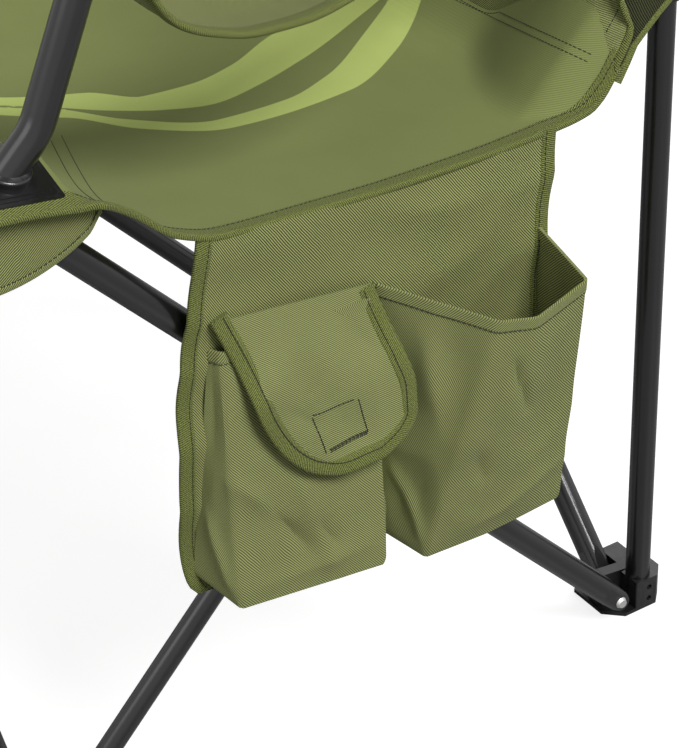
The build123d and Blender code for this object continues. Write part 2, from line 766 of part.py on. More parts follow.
with BuildPart() as seat:
    for share, edge, edge_rise, middle_rise in seat_stations:
        setback = seat_front + share * (seat_rear - seat_front)
        half = seat_heights(setback, edge, side_pivot_top + edge_rise, side_pivot_top + middle_rise)
        top_line = [(across(RIGHT, x), z) for x, z in half] + [(across(LEFT, x), z) for x, z in reversed(half[:-1])]
        low_line = [(x, z - fabric_thickness) for x, z in top_line]
        with BuildSketch(at_y(along(setback))):
            with BuildLine():
                Spline(*top_line)
                Line(top_line[-1], low_line[-1])
                Spline(*reversed(low_line))
                Line(low_line[0], top_line[0])
            make_face()
    loft()
    for side in (LEFT, RIGHT):
        with BuildSketch(Plane.XY.offset(side_pivot_top - pivot_base / 4)):
            with Locations((across(side, seat_corner_reach), along(seat_front))):
                Rectangle(2 * (seat_corner_reach + corner_cut_inboard), 2 * (corner_cut_rear - seat_front))
        extrude(amount=pivot_base / 2, mode=Mode.SUBTRACT)
finish(seat.part, "seat")

# ---- Backrest -----------------------------------------------------------------------------------
# height, setback at the sides, setback in the middle
back_wide_part = back_top - back_throat_top
back_stations = (
    (side_pivot_top - 57.8, -52.0, -52.0),
    (side_pivot_top - 24.8, -41.0, -41.0),
    (side_pivot_top + 7.2, -27.5, -27.5),
    (side_pivot_top + 40.2, -6.0, -3.0),
    (back_throat_top + 0.27 * back_wide_part, 0.0, 20.0),
    (back_throat_top + 0.63 * back_wide_part, 0.0, back_bulge),
    (back_top, 0.0, back_bulge - 8.0),
)

with BuildPart() as backrest:
    for height, side_setback, middle_setback in back_stations:
        front_line = [
            (across(RIGHT, -back_edge_inset), along(side_setback)),
            (mid_x, along(middle_setback + 0.01)),
            (across(LEFT, -back_edge_inset), along(side_setback)),
        ]
        rear_line = [(x, y + fabric_thickness) for x, y in front_line]
        with BuildSketch(Plane.XY.offset(height)):
            with BuildLine():
                ThreePointArc(*front_line)
                Line(front_line[-1], rear_line[-1])
                ThreePointArc(*reversed(rear_line))
                Line(rear_line[0], front_line[0])
            make_face()
    loft(ruled=True)
    throat_cut = back_throat_inset - back_edge_inset
    for side in (LEFT, RIGHT):
        with BuildSketch(Plane.XY):
            with Locations((across(side, -back_edge_inset), along(0))):
                Rectangle(2 * throat_cut, pivot_base / 2)
        extrude(amount=back_throat_top, mode=Mode.SUBTRACT)
        with BuildSketch(Plane.XY.offset(arm_ring_bottom - arm_ring_gap)):
            with Locations((across(side, 0), along(0))):
                Circle(sleeve_diameter / 2 + running_gap)
        extrude(amount=arm_ring_height + 2 * arm_ring_gap, mode=Mode.SUBTRACT)
    with BuildSketch(Plane.XY.offset(sleeve_bottom)):
        with Locations(*[(across(side, 0), along(0)) for side in (LEFT, RIGHT)]):
            Circle(sleeve_diameter / 2)
    extrude(amount=back_top - sleeve_bottom)
    with BuildSketch(Plane.XY.offset(sleeve_bottom)):
        with Locations(*[(across(side, 0), along(0)) for side in (LEFT, RIGHT)]):
            Circle(sleeve_bore / 2)
    extrude(amount=back_top - sleeve_bottom, mode=Mode.SUBTRACT)
finish(backrest.part, "backrest")

# ---- Armrests and corner flaps ------------------------------------------------------------------
arm_top_setback = arm_bend[1] + arm_post_lean * (arm_top - arm_bend[2])
arm_top_offset = arm_bend[0] - arm_post_tuck * (arm_top - arm_bend[2])
band_level = arm_top + running_gap + arm_band_thickness / 2
# Hanging band behind the arm post: share of the way to the rear post, and drop below the arm post's top
band_sag = ((0.066, 47.0), (0.122, 85.0), (0.279, 110.0), (0.467, 84.0), (0.721, 17.0))
band_points = (
    (arm_top_setback + arm_tab_half_length, band_level),
    *[(arm_top_setback * (1 - share), arm_top - drop) for share, drop in band_sag],
    (-sleeve_bore / 2 - 1.2, arm_ring_bottom + 18),
)

for side, hand in ((LEFT, "left"), (RIGHT, "right")):
    band_inner = across(side, -arm_band_inner)
    with BuildPart() as armrest:
        with BuildSketch(at_x(band_inner)):
            with BuildLine() as band_line:
                Spline(
                    *[(along(y), z) for y, z in band_points],
                    tangents=((1, 0), (0.86, 0.5)),
                )
            trace(line_width=arm_band_thickness)
            with Locations((along(arm_top_setback), band_level)):
                Rectangle(2 * arm_tab_half_length, arm_band_thickness)
        extrude(amount=side * (arm_band_inner + arm_top_offset + arm_tab_reach))
        with BuildSketch(Plane.XY.offset(arm_ring_bottom)):
            with Locations((across(side, 0), along(0))):
                Circle(sleeve_diameter / 2)
        extrude(amount=arm_ring_height)
        with BuildSketch(Plane.XY.offset(arm_ring_bottom - arm_ring_height)):
            with Locations((across(side, 0), along(0))):
                Circle(sleeve_bore / 2)
        extrude(amount=3 * arm_ring_height, mode=Mode.SUBTRACT)
        with BuildSketch(Plane(origin=arm_top_centre(side))):
            Circle(arm_cap_stem + running_gap)
        extrude(amount=3 * arm_band_thickness, mode=Mode.SUBTRACT)
    finish(armrest.part, f"{hand}_armrest")

    flap_top = plate_centre[2] - plate_thickness
    with BuildPart() as corner_flap:
        with BuildSketch(Plane.XY.offset(flap_top - corner_flap_drop)):
            with BuildLine() as flap_line:
                FilletPolyline(
                    (across(side, flap_offset), along(corner_flap_front + corner_flap_reach)),
                    (across(side, flap_offset), along(corner_flap_front)),
                    (across(side, flap_offset - corner_flap_reach), along(corner_flap_front)),
                    radius=12,
                )
            trace(line_width=corner_flap_wall)
        extrude(amount=corner_flap_drop)
        corner = Vector(across(side, flap_offset), along(corner_flap_front), flap_top)
        with BuildSketch(Plane(origin=corner, x_dir=(1, 0, 0), z_dir=(0, -1, 0))):
            Ellipse(corner_flap_reach, corner_flap_drop)
            with Locations((-corner_flap_reach, 0)):
                Rectangle(2 * corner_flap_reach, 2 * corner_flap_drop + 2, mode=Mode.SUBTRACT)
        revolve(axis=Axis(corner, (0, 0, 1)), mode=Mode.INTERSECT)
        split(bisect_by=plate_plane(side, plate_thickness + running_gap), keep=Keep.BOTTOM)
    finish(corner_flap.part, f"front_{hand}_corner_flap")

# ---- Organiser on the sitter's left -------------------------------------------------------------
panel_outline = [
    (panel_front + panel_corner_inset, panel_top),
    (panel_rear, panel_top - 4),
    (panel_rear - panel_rear_inset, panel_top - panel_rear_drop),
    (open_pocket_rear, panel_bottom),
    (open_pocket_front, panel_bottom),
    (panel_front + 6, panel_bottom + 18),
    (panel_front, panel_bottom + 46),
    (panel_front + panel_waist_inset, panel_top - panel_waist_drop),
]

with BuildPart() as organiser_panel:
    with BuildSketch(at_x(across(LEFT, panel_offset))) as outline:
        Polygon(*[(along(y), z) for y, z in panel_outline], align=None)
        fillet(outline.vertices(), radius=3)
    extrude(amount=panel_thickness)
finish(organiser_panel.part, "organiser_panel")


def pocket(floor, floor_fall, floor_plan, rim, rim_fall, rim_plan):
    """Open-topped fabric pocket between two plans, each four points as (distance from the panel, setback).
    The floor and the rim fall that much from the panel to their outer edges."""
    with BuildPart() as bag:
        for inset in (0, pocket_wall):
            for height, fall, plan in ((floor + inset, floor_fall, floor_plan), (rim, rim_fall, rim_plan)):
                depth = max(distance for distance, _ in plan)
                slope = (depth**2 + fall**2) ** 0.5
                start = (across(LEFT, panel_face), along(0), height)
                with BuildSketch(Plane(start, x_dir=(depth, 0, -fall), z_dir=(fall, 0, depth))):
                    Polygon(*[(distance * slope / depth, y) for distance, y in plan], align=None)
                    if inset:
                        offset(amount=-inset, kind=Kind.INTERSECTION, mode=Mode.REPLACE)
            loft(ruled=True, mode=Mode.SUBTRACT if inset else Mode.ADD)
    return bag.part


flap_pocket_floor_plan = [
    (0, flap_pocket_front + 3),
    (flap_pocket_depth, flap_pocket_front + 3 + flap_pocket_corner),
    (flap_pocket_depth, flap_pocket_rear - flap_pocket_corner),
    (0, flap_pocket_rear),
]
flap_pocket_rim_plan = [
    (0, flap_pocket_front + flap_pocket_lean),
    (flap_pocket_mouth, flap_pocket_front + flap_pocket_lean + flap_pocket_mouth),
    (flap_pocket_mouth, flap_pocket_rear - flap_pocket_mouth),
    (0, flap_pocket_rear - 3),
]
flap_pocket_bag = pocket(
    flap_pocket_floor, flap_pocket_floor_fall, flap_pocket_floor_plan,
    flap_pocket_rim, flap_pocket_rim_fall, flap_pocket_rim_plan,
)
finish(flap_pocket_bag, "flap_pocket")

open_pocket_floor_plan = [
    (0, open_pocket_front + 2),
    (open_pocket_depth, open_pocket_front + open_pocket_corner),
    (open_pocket_depth, open_pocket_rear - 2),
    (0, open_pocket_rear),
]
open_pocket_rim_plan = [
    (0, open_pocket_front),
    (open_pocket_mouth, open_pocket_front + open_pocket_splay),
    (open_pocket_mouth, open_pocket_rear + 2),
    (0, open_pocket_rear),
]
open_pocket_bag = pocket(
    open_pocket_floor, open_pocket_floor_fall, open_pocket_floor_plan,
    open_pocket_rim, open_pocket_rim_fall, open_pocket_rim_plan,
)
finish(open_pocket_bag, "open_pocket")

with BuildPart() as pocket_flap:
    hinge = Plane(
        origin=(across(LEFT, panel_face + cover_standoff), along(0), cover_hinge_height),
        x_dir=(0, 1, 0),
        z_dir=(cos(radians(cover_lean)), 0, sin(radians(cover_lean))),
    )
    with BuildSketch(hinge) as tongue:
        Polygon(
            (cover_front, 0),
            (cover_rear, 0),
            (cover_rear + cover_rear_taper, -cover_length),
            (cover_front + cover_front_taper, -cover_length),
            align=None,
        )
        low_corners = tongue.vertices().group_by(Axis.Y)[0].sort_by(Axis.X)
        fillet(low_corners[0], radius=cover_front_round)
        fillet(tongue.vertices().sort_by(Axis.X)[-1], radius=cover_rear_round)
    extrude(amount=cover_thickness)
finish(pocket_flap.part, "pocket_flap")
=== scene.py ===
"""Looks for a folding camp chair: powder-coated tubes, moulded fittings and sewn canvas, with a side organiser.

Lengths in the classes are millimetres. Points are (offset, setback, height): outboard of the nearer rear post's
axis, behind it, and above the floor. Layout turns them into metres in the frame that the model was made in.
"""

import json
import logging
import math
from dataclasses import dataclass, field
from enum import Enum
from typing import Callable, Iterable, Optional, Sequence

import bmesh
import bpy
import numpy as np
from mathutils import Matrix, Vector, noise

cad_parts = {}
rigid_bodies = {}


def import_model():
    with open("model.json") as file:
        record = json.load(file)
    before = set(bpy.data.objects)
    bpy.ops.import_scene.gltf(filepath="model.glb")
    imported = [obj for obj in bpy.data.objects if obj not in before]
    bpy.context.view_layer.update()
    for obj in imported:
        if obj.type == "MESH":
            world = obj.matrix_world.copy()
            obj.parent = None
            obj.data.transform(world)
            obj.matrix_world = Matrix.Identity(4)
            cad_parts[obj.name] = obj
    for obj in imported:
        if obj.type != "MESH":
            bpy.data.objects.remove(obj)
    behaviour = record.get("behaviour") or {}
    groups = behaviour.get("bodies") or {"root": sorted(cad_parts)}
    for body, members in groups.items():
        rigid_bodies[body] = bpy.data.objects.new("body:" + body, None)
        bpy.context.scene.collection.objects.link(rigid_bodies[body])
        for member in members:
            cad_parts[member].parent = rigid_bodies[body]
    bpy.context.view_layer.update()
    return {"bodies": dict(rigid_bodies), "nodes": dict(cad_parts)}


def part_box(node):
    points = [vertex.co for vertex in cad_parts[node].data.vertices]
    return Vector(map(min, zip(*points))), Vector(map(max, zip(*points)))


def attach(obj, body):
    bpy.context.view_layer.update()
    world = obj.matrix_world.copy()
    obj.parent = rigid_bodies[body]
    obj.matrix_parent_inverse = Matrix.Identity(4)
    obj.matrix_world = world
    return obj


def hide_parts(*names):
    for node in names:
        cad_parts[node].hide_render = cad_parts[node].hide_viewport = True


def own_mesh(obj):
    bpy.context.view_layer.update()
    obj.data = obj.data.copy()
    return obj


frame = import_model()

log = logging.getLogger("camp_chair")
MM = 0.001
Array = np.ndarray
Pair = tuple[float, float]
Point = tuple[float, float, float]
Colour = tuple[float, float, float, float]
Row = tuple[float, ...]
Lines = Iterable[tuple[Array, Array]]
Piece = bpy.types.Object
Material = bpy.types.Material
Socket = bpy.types.NodeSocket
NUDGE = 0.004  # a small step across a sheet, for finding its normals
SHARP = 50.0  # edges that bend by more degrees than this look sharp
TINY = 1e-12
WHITE = (1.0, 1.0, 1.0, 1.0)


class Side(Enum):
    """The two sides of the chair; the value is the direction of outboard along X."""

    LEFT = 1
    RIGHT = -1

    @property
    def hand(self) -> str:
        """The side's word in node and piece names."""
        return self.name.lower()

    @property
    def post_body(self) -> str:
        """The body of the side's rear post."""
        return "frame_root" if self is Side.LEFT else "rear_right_side"

    @property
    def slider_body(self) -> str:
        """The body of the side's slider."""
        return f"rear_{self.hand}_slider_body"


# ---- Placing and shaping ------------------------------------------------------------------------
@dataclass(frozen=True)
class Layout:
    """Where the rear posts stand: the middle between them, their setback and half their spacing."""

    middle: float
    rear: float
    half_width: float

    @classmethod
    def from_frame(cls) -> "Layout":
        """Reads the posts' places from the frame.

        Returns:
            The layout, in millimetres.
        """
        axes = []
        for side in Side:
            low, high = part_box(f"rear_{side.hand}_post")
            axes.append((low + high) / 2 / MM)
        left, right = axes
        return cls((left.x + right.x) / 2, left.y, (left.x - right.x) / 2)

    def place(self, side: Side, points: Array) -> Array:
        """Turns local points into the frame's metres.

        Args:
            side: The side that the offsets are measured from.
            points: An array whose last axis is (offset, setback, height).

        Returns:
            An array of the same shape, in metres.
        """
        points = np.asarray(points, float)
        placed = np.empty_like(points)
        placed[..., 0] = self.middle + side.value * (self.half_width + points[..., 0])
        placed[..., 1] = self.rear + points[..., 1]
        placed[..., 2] = points[..., 2]
        return placed * MM


def smooth_curve(at: Array, known: Sequence[float], values: Sequence[float]) -> Array:
    """Cubic curve through known points that doesn't overshoot between them.

    Args:
        at: Where to read the curve.
        known: The known points' places, rising.
        values: The curve's values there.

    Returns:
        The curve's values at each place asked for.
    """
    xs, ys = np.asarray(known, float), np.asarray(values, float)
    step, slope = np.diff(xs), np.diff(ys) / np.diff(xs)
    tangent = np.zeros_like(ys)
    same = slope[:-1] * slope[1:] > 0
    tangent[1:-1][same] = (2 * slope[:-1] * slope[1:] / (slope[:-1] + slope[1:] + TINY))[same]
    tangent[0], tangent[-1] = slope[0], slope[-1]
    at = np.clip(np.asarray(at, float), xs[0], xs[-1])
    i = np.clip(np.searchsorted(xs, at) - 1, 0, len(xs) - 2)
    t = (at - xs[i]) / step[i]
    return (
        ys[i] * (1 + 2 * t) * (1 - t) ** 2
        + ys[i + 1] * t * t * (3 - 2 * t)
        + step[i] * (tangent[i] * t * (1 - t) ** 2 - tangent[i + 1] * t * t * (1 - t))
    )


def unit(vectors: Array) -> Array:
    """Scales the vectors of an array to length 1."""
    return vectors / np.maximum(np.linalg.norm(vectors, axis=-1, keepdims=True), TINY)


def arc_lengths(path: Array) -> Array:
    """Distance along a path at each of its points."""
    return np.concatenate([[0.0], np.cumsum(np.linalg.norm(np.diff(path, axis=0), axis=1))])


def resample(path: Array, count: int, *others: Array) -> list[Array]:
    """Spreads points evenly along a path.

    Args:
        path: The path's points.
        count: How many points to return.
        others: Arrays with one row for each point of the path, resampled with it.

    Returns:
        The path and the other arrays, each with count rows.
    """
    length = arc_lengths(path)
    wanted = np.linspace(0, length[-1], count)
    return [
        np.stack([np.interp(wanted, length, values[:, k]) for k in range(values.shape[1])], axis=1)
        for values in (path, *others)
    ]


def rounded_path(corners: Sequence[Sequence[float]], radii: Sequence[float], closed: bool = False) -> Array:
    """A polyline with each corner rounded by a quadratic arc.

    Args:
        corners: The corner points, in two or three dimensions.
        radii: How far from each corner its arc starts, one for each corner.
        closed: Whether the last corner joins the first.

    Returns:
        The path's points.
    """
    points = [np.asarray(c, float) for c in corners]
    made, count = [], len(points)
    for k, point in enumerate(points):
        if not closed and k in (0, count - 1) or radii[k] <= 0:
            made.append(point)
            continue
        before, after = points[k - 1] - point, points[(k + 1) % count] - point
        start = point + before * min(0.5, radii[k] / np.linalg.norm(before))
        end = point + after * min(0.5, radii[k] / np.linalg.norm(after))
        for t in np.linspace(0, 1, 9):
            made.append(start * (1 - t) ** 2 + 2 * point * t * (1 - t) + end * t * t)
    return np.array(made)


def wrinkle(points: Array, size: float, seed: float, stretch: Point = (1.0, 1.0, 1.0)) -> Array:
    """Smooth noise for folds in cloth.

    Args:
        points: Millimetre points, with the coordinates on the last axis.
        size: Width of a fold.
        seed: Offset into the noise, so that pieces differ.
        stretch: Scale of each axis before the noise is read.

    Returns:
        Values from about -1 to 1, one for each point.
    """
    scaled = np.asarray(points, float) * np.asarray(stretch) / size + seed
    flat = scaled.reshape(-1, 3)
    return np.array([noise.noise(Vector(p)) for p in flat]).reshape(scaled.shape[:-1]) * 1.6


def creases(points: Array, size: float, seed: float, stretch: Point = (1.0, 1.0, 1.0)) -> Array:
    """Noise with sharp ridges, for creased cloth, from about -1 to 1. Takes what wrinkle takes."""
    return 1.0 - 2.2 * np.abs(wrinkle(points, size, seed, stretch))


@dataclass(frozen=True)
class Rumple:
    """Folds in cloth: how high they stand, how wide one is, where their noise is read, its stretch and its kind."""

    height: float
    size: float
    seed: float
    stretch: Point = (1.0, 1.0, 1.0)
    creased: bool = False

    def at(self, points: Array, shift: float = 0.0) -> Array:
        """Heights of the folds at millimetre points; shift moves the seed."""
        kind = creases if self.creased else wrinkle
        return self.height * kind(points, self.size, self.seed + shift, self.stretch)


def mesh_object(
    name: str, vertices: Array, faces: Sequence, cloth: Optional[Array] = None, sharp: float = SHARP
) -> Piece:
    """Makes a mesh object in the scene.

    Args:
        name: The object's name.
        vertices: Its points, in metres.
        faces: Tuples of vertex numbers.
        cloth: Flat cloth coordinates of each vertex, in metres, for a UV map.
        sharp: Edges that bend by more than this many degrees stay sharp.

    Returns:
        The object, smooth shaded.
    """
    mesh = bpy.data.meshes.new(name)
    mesh.from_pydata([tuple(v) for v in vertices], [], [tuple(f) for f in faces])
    if cloth is not None:
        layer = mesh.uv_layers.new(name="Cloth")
        loops = np.empty(len(mesh.loops), np.int32)
        mesh.loops.foreach_get("vertex_index", loops)
        layer.data.foreach_set("uv", np.asarray(cloth, np.float32)[loops].ravel())
    tidy = bmesh.new()
    tidy.from_mesh(mesh)
    bmesh.ops.recalc_face_normals(tidy, faces=tidy.faces)
    tidy.to_mesh(mesh)
    tidy.free()
    mesh.shade_smooth()
    mesh.set_sharp_from_angle(angle=math.radians(sharp))
    obj = bpy.data.objects.new(name, mesh)
    bpy.context.scene.collection.objects.link(obj)
    return obj


def add_values(obj: Piece, name: str, values: Array) -> None:
    """Stores one number for each vertex, for the material to read."""
    attribute = obj.data.attributes.new(name, "FLOAT", "POINT")
    attribute.data.foreach_set("value", np.asarray(values, np.float32).ravel())


def grid_faces(rows: int, columns: int, start: int = 0, wrap: bool = False) -> list[tuple[int, ...]]:
    """Quads over a grid of vertices, row by row; wrap joins the last column to the first."""
    faces = []
    for i in range(rows - 1):
        for j in range(columns if wrap else columns - 1):
            k = (j + 1) % columns
            a, b = start + i * columns + j, start + i * columns + k
            faces.append((a, b, b + columns, a + columns))
    return faces


def grid_normals(grid: Array) -> Array:
    """Unit normals of a grid of points."""
    return unit(np.cross(np.gradient(grid, axis=1), np.gradient(grid, axis=0)))


def facing_normals(grid: Array, axis: int, sign: int = 1) -> Array:
    """Unit normals of a grid that face along an axis: its positive way, or its negative way where sign is -1."""
    normals = grid_normals(grid)
    return -normals if (normals[..., axis] * sign).mean() < 0 else normals


def surface_points(surface: Callable[[Array, Array], Array], across: Array, along: Array) -> tuple[Array, Array]:
    """Points of a surface at places across and along it, and its normals there."""
    here = surface(across, along)
    aside, ahead = surface(across + NUDGE, along), surface(across, along + 1.0)
    return here, unit(np.cross(aside - here, ahead - here))


def flat_coordinates(grid: Array) -> Array:
    """Cloth coordinates of a grid: distances along its rows and columns, measured from the middle ones."""
    rows, columns = grid.shape[:2]
    u, v = np.zeros((rows, columns)), np.zeros((rows, columns))
    u[:, 1:] = np.cumsum(np.linalg.norm(np.diff(grid, axis=1), axis=-1), axis=1)
    v[1:] = np.cumsum(np.linalg.norm(np.diff(grid, axis=0), axis=-1), axis=0)
    return np.stack([u - u[:, columns // 2 : columns // 2 + 1], v - v[rows // 2 : rows // 2 + 1]], axis=-1)


def shell(name: str, grid: Array, thickness: float, sharp: float = SHARP) -> Piece:
    """A closed sheet of cloth made from a grid of points.

    Args:
        name: The object's name.
        grid: Points in metres, in rows and columns, in the middle of the cloth.
        thickness: The cloth's thickness in millimetres.
        sharp: As for mesh_object.

    Returns:
        The sheet.
    """
    rows, columns = grid.shape[:2]
    count = rows * columns
    half = grid_normals(grid) * thickness * MM / 2
    vertices = np.concatenate([(grid + half).reshape(-1, 3), (grid - half).reshape(-1, 3)])
    top = grid_faces(rows, columns)
    faces = top + [tuple(v + count for v in reversed(face)) for face in top]
    border = list(range(columns))
    border += [i * columns + columns - 1 for i in range(1, rows)]
    border += [(rows - 1) * columns + j for j in range(columns - 2, -1, -1)]
    border += [i * columns for i in range(rows - 2, 0, -1)]
    for a, b in zip(border, border[1:] + border[:1]):
        faces.append((b, a, a + count, b + count))
    cloth = flat_coordinates(grid).reshape(-1, 2)
    return mesh_object(name, vertices, faces, np.concatenate([cloth, cloth]), sharp)


def band(
    name: str, path: Array, inward: Array, normal: Array, width: float | Array, thickness: float, overhang: float = 1.0
) -> Piece:
    """A strip of webbing folded over an edge, as a closed flattened tube.

    Args:
        name: The object's name.
        path: The edge's points, in metres.
        inward: For each point, the direction into the cloth.
        normal: For each point, the cloth's normal.
        width: How far the webbing reaches over the cloth, in millimetres, as one number or one for each point.
        thickness: Its thickness over both faces.
        overhang: How far it stands out past the edge.

    Returns:
        The strip.
    """
    turns = np.linspace(0, 2 * math.pi, 14, endpoint=False)
    squareness = 0.45
    a = np.sign(np.cos(turns)) * np.abs(np.cos(turns)) ** squareness
    b = np.sign(np.sin(turns)) * np.abs(np.sin(turns)) ** (squareness * 1.6)
    widths = np.broadcast_to(np.asarray(width, float), (len(path),))[:, None]
    reach = ((a + 1) / 2 * (widths + overhang) - overhang) * MM
    rise = np.broadcast_to(b * thickness / 2 * MM, reach.shape)
    section = np.stack([reach[0], rise[0]], axis=1)
    inward = unit(inward - normal * (inward * normal).sum(axis=1, keepdims=True))
    rings = path[:, None] + reach[..., None] * inward[:, None] + rise[..., None] * normal[:, None]
    rows, columns = rings.shape[:2]
    faces = grid_faces(rows, columns, wrap=True)
    faces += [tuple(range(columns)), tuple(range((rows - 1) * columns, rows * columns))[::-1]]
    around = arc_lengths(np.vstack([section, section[:1]]))[:-1]
    u, v = np.meshgrid(around, arc_lengths(path))
    return mesh_object(name, rings.reshape(-1, 3), faces, np.stack([v, u], axis=-1).reshape(-1, 2))


@dataclass(frozen=True)
class Stitching:
    """Sewing thread laid in single stitches along a line."""

    pitch: float = 3.4
    length: float = 2.9
    radius: float = 0.3

    def lay(self, name: str, lines: Lines) -> Piece:
        """Lays stitches along each line.

        Args:
            name: The object's name.
            lines: Pairs of a path and its normals, in metres.

        Returns:
            All the stitches as one object.
        """
        vertices, faces = [], []
        turns = np.linspace(0, 2 * math.pi, 6, endpoint=False)
        shape = np.array([(0.0, 0.35, -0.6), (0.12, 0.9, 0.1), (0.5, 1.0, 0.55), (0.88, 0.9, 0.1), (1.0, 0.35, -0.6)])
        for path, normal in lines:
            length = arc_lengths(path)
            for begin in np.arange(0.2 * self.pitch * MM, length[-1] - self.length * MM, self.pitch * MM):
                at = begin + shape[:, 0] * self.length * MM
                centre = np.stack([np.interp(at, length, path[:, k]) for k in range(3)], axis=1)
                up = unit(np.stack([np.interp(at, length, normal[:, k]) for k in range(3)], axis=1))
                across = unit(np.cross(up, centre[-1] - centre[0]))
                centre = centre + up * shape[:, 2:] * self.radius * MM
                rings = centre[:, None] + self.radius * MM * shape[:, 1, None, None] * (
                    np.cos(turns)[None, :, None] * across[:, None] + np.sin(turns)[None, :, None] * up[:, None]
                )
                first = len(vertices) * len(shape) * len(turns)
                vertices.append(rings.reshape(-1, 3))
                faces += grid_faces(len(shape), len(turns), first, wrap=True)
                last = first + (len(shape) - 1) * len(turns)
                faces += [tuple(range(first, first + len(turns))), tuple(range(last, last + len(turns)))[::-1]]
        return mesh_object(name, np.concatenate(vertices), faces)


# ---- Node trees ---------------------------------------------------------------------------------
def srgb(red: float, green: float, blue: float) -> Colour:
    """A linear colour from 0-255 display values."""
    linear = [c / 255 / 12.92 if c <= 10 else ((c / 255 + 0.055) / 1.055) ** 2.4 for c in (red, green, blue)]
    return (*linear, 1.0)


class Tree:
    """Adds and joins nodes in one node tree."""

    def __init__(self, tree: bpy.types.NodeTree) -> None:
        """Wraps a tree."""
        self.tree = tree

    def add(self, kind: str, *inputs, **settings) -> bpy.types.Node:
        """Adds a node.

        Args:
            kind: The node's type.
            inputs: What goes into its inputs in order: a socket, a plain value, or None to skip one.
            settings: Attributes to set on the node first.

        Returns:
            The node.
        """
        node = self.tree.nodes.new(kind)
        for key, value in settings.items():
            setattr(node, key, value)
        for socket, value in zip(node.inputs, inputs):
            self.feed(socket, value)
        return node

    def feed(self, socket: Socket, value) -> None:
        """Links or sets one input; None leaves it as it is."""
        if isinstance(value, Socket):
            self.tree.links.new(value, socket)
        elif value is not None:
            socket.default_value = value[:3] if socket.type == "VECTOR" else value

    def fill(self, node: bpy.types.Node, values: dict[str, object]) -> bpy.types.Node:
        """Links or sets a node's inputs by name, and gives the node back."""
        for name, value in values.items():
            self.feed(node.inputs[name], value)
        return node

    def group(self, shared: bpy.types.NodeTree, **values):
        """Outputs of a group node whose inputs are fed by name."""
        return self.fill(self.add("ShaderNodeGroup", node_tree=shared), values).outputs

    def math(self, operation: str, a, b=None, c=None) -> Socket:
        """Output of a Math node."""
        return self.add("ShaderNodeMath", a, b, c, operation=operation).outputs[0]

    def noise(self, vector, scale, detail: float = 3.0) -> Socket:
        """Output value of a Noise node."""
        values = {"Vector": vector, "Scale": scale, "Detail": detail}
        return self.fill(self.add("ShaderNodeTexNoise"), values).outputs[0]

    def spread(self, value, low: float, high: float, to_low: float, to_high: float) -> Socket:
        """A value mapped from one range to another and kept inside it."""
        return self.add("ShaderNodeMapRange", value, low, high, to_low, to_high).outputs[0]

    def tint(self, colour, shade) -> Socket:
        """A colour multiplied by a grey value."""
        node = self.add("ShaderNodeVectorMath", colour, operation="SCALE")
        return self.fill(node, {"Scale": shade}).outputs[0]

    def mix(self, share, first, second) -> Socket:
        """A mix of two colours."""
        node = self.add("ShaderNodeMix", data_type="RGBA")
        for name, value in (("Factor_Float", share), ("A_Color", first), ("B_Color", second)):
            self.feed(next(s for s in node.inputs if s.identifier == name), value)
        return next(s for s in node.outputs if s.identifier == "Result_Color")

    def bump(self, height, strength: float, distance: float) -> Socket:
        """Normal of a Bump node."""
        values = {"Strength": strength, "Distance": distance, "Height": height}
        return self.fill(self.add("ShaderNodeBump"), values).outputs[0]


def start_group(name: str, values: dict[str, float], outputs: Sequence[str]):
    """Starts a shader node group with a Vector input.

    Args:
        name: The group's name.
        values: Names and defaults of its float inputs.
        outputs: Names of its float outputs.

    Returns:
        The group, a Tree for it, the sockets that it is given and the sockets that it puts out.
    """
    made = bpy.data.node_groups.new(name, "ShaderNodeTree")
    made.interface.new_socket(name="Vector", in_out="INPUT", socket_type="NodeSocketVector")
    for label, default in values.items():
        socket = made.interface.new_socket(name=label, in_out="INPUT", socket_type="NodeSocketFloat")
        socket.default_value = default
    for label in outputs:
        made.interface.new_socket(name=label, in_out="OUTPUT", socket_type="NodeSocketFloat")
    tree = Tree(made)
    return made, tree, tree.add("NodeGroupInput").outputs, tree.add("NodeGroupOutput").inputs


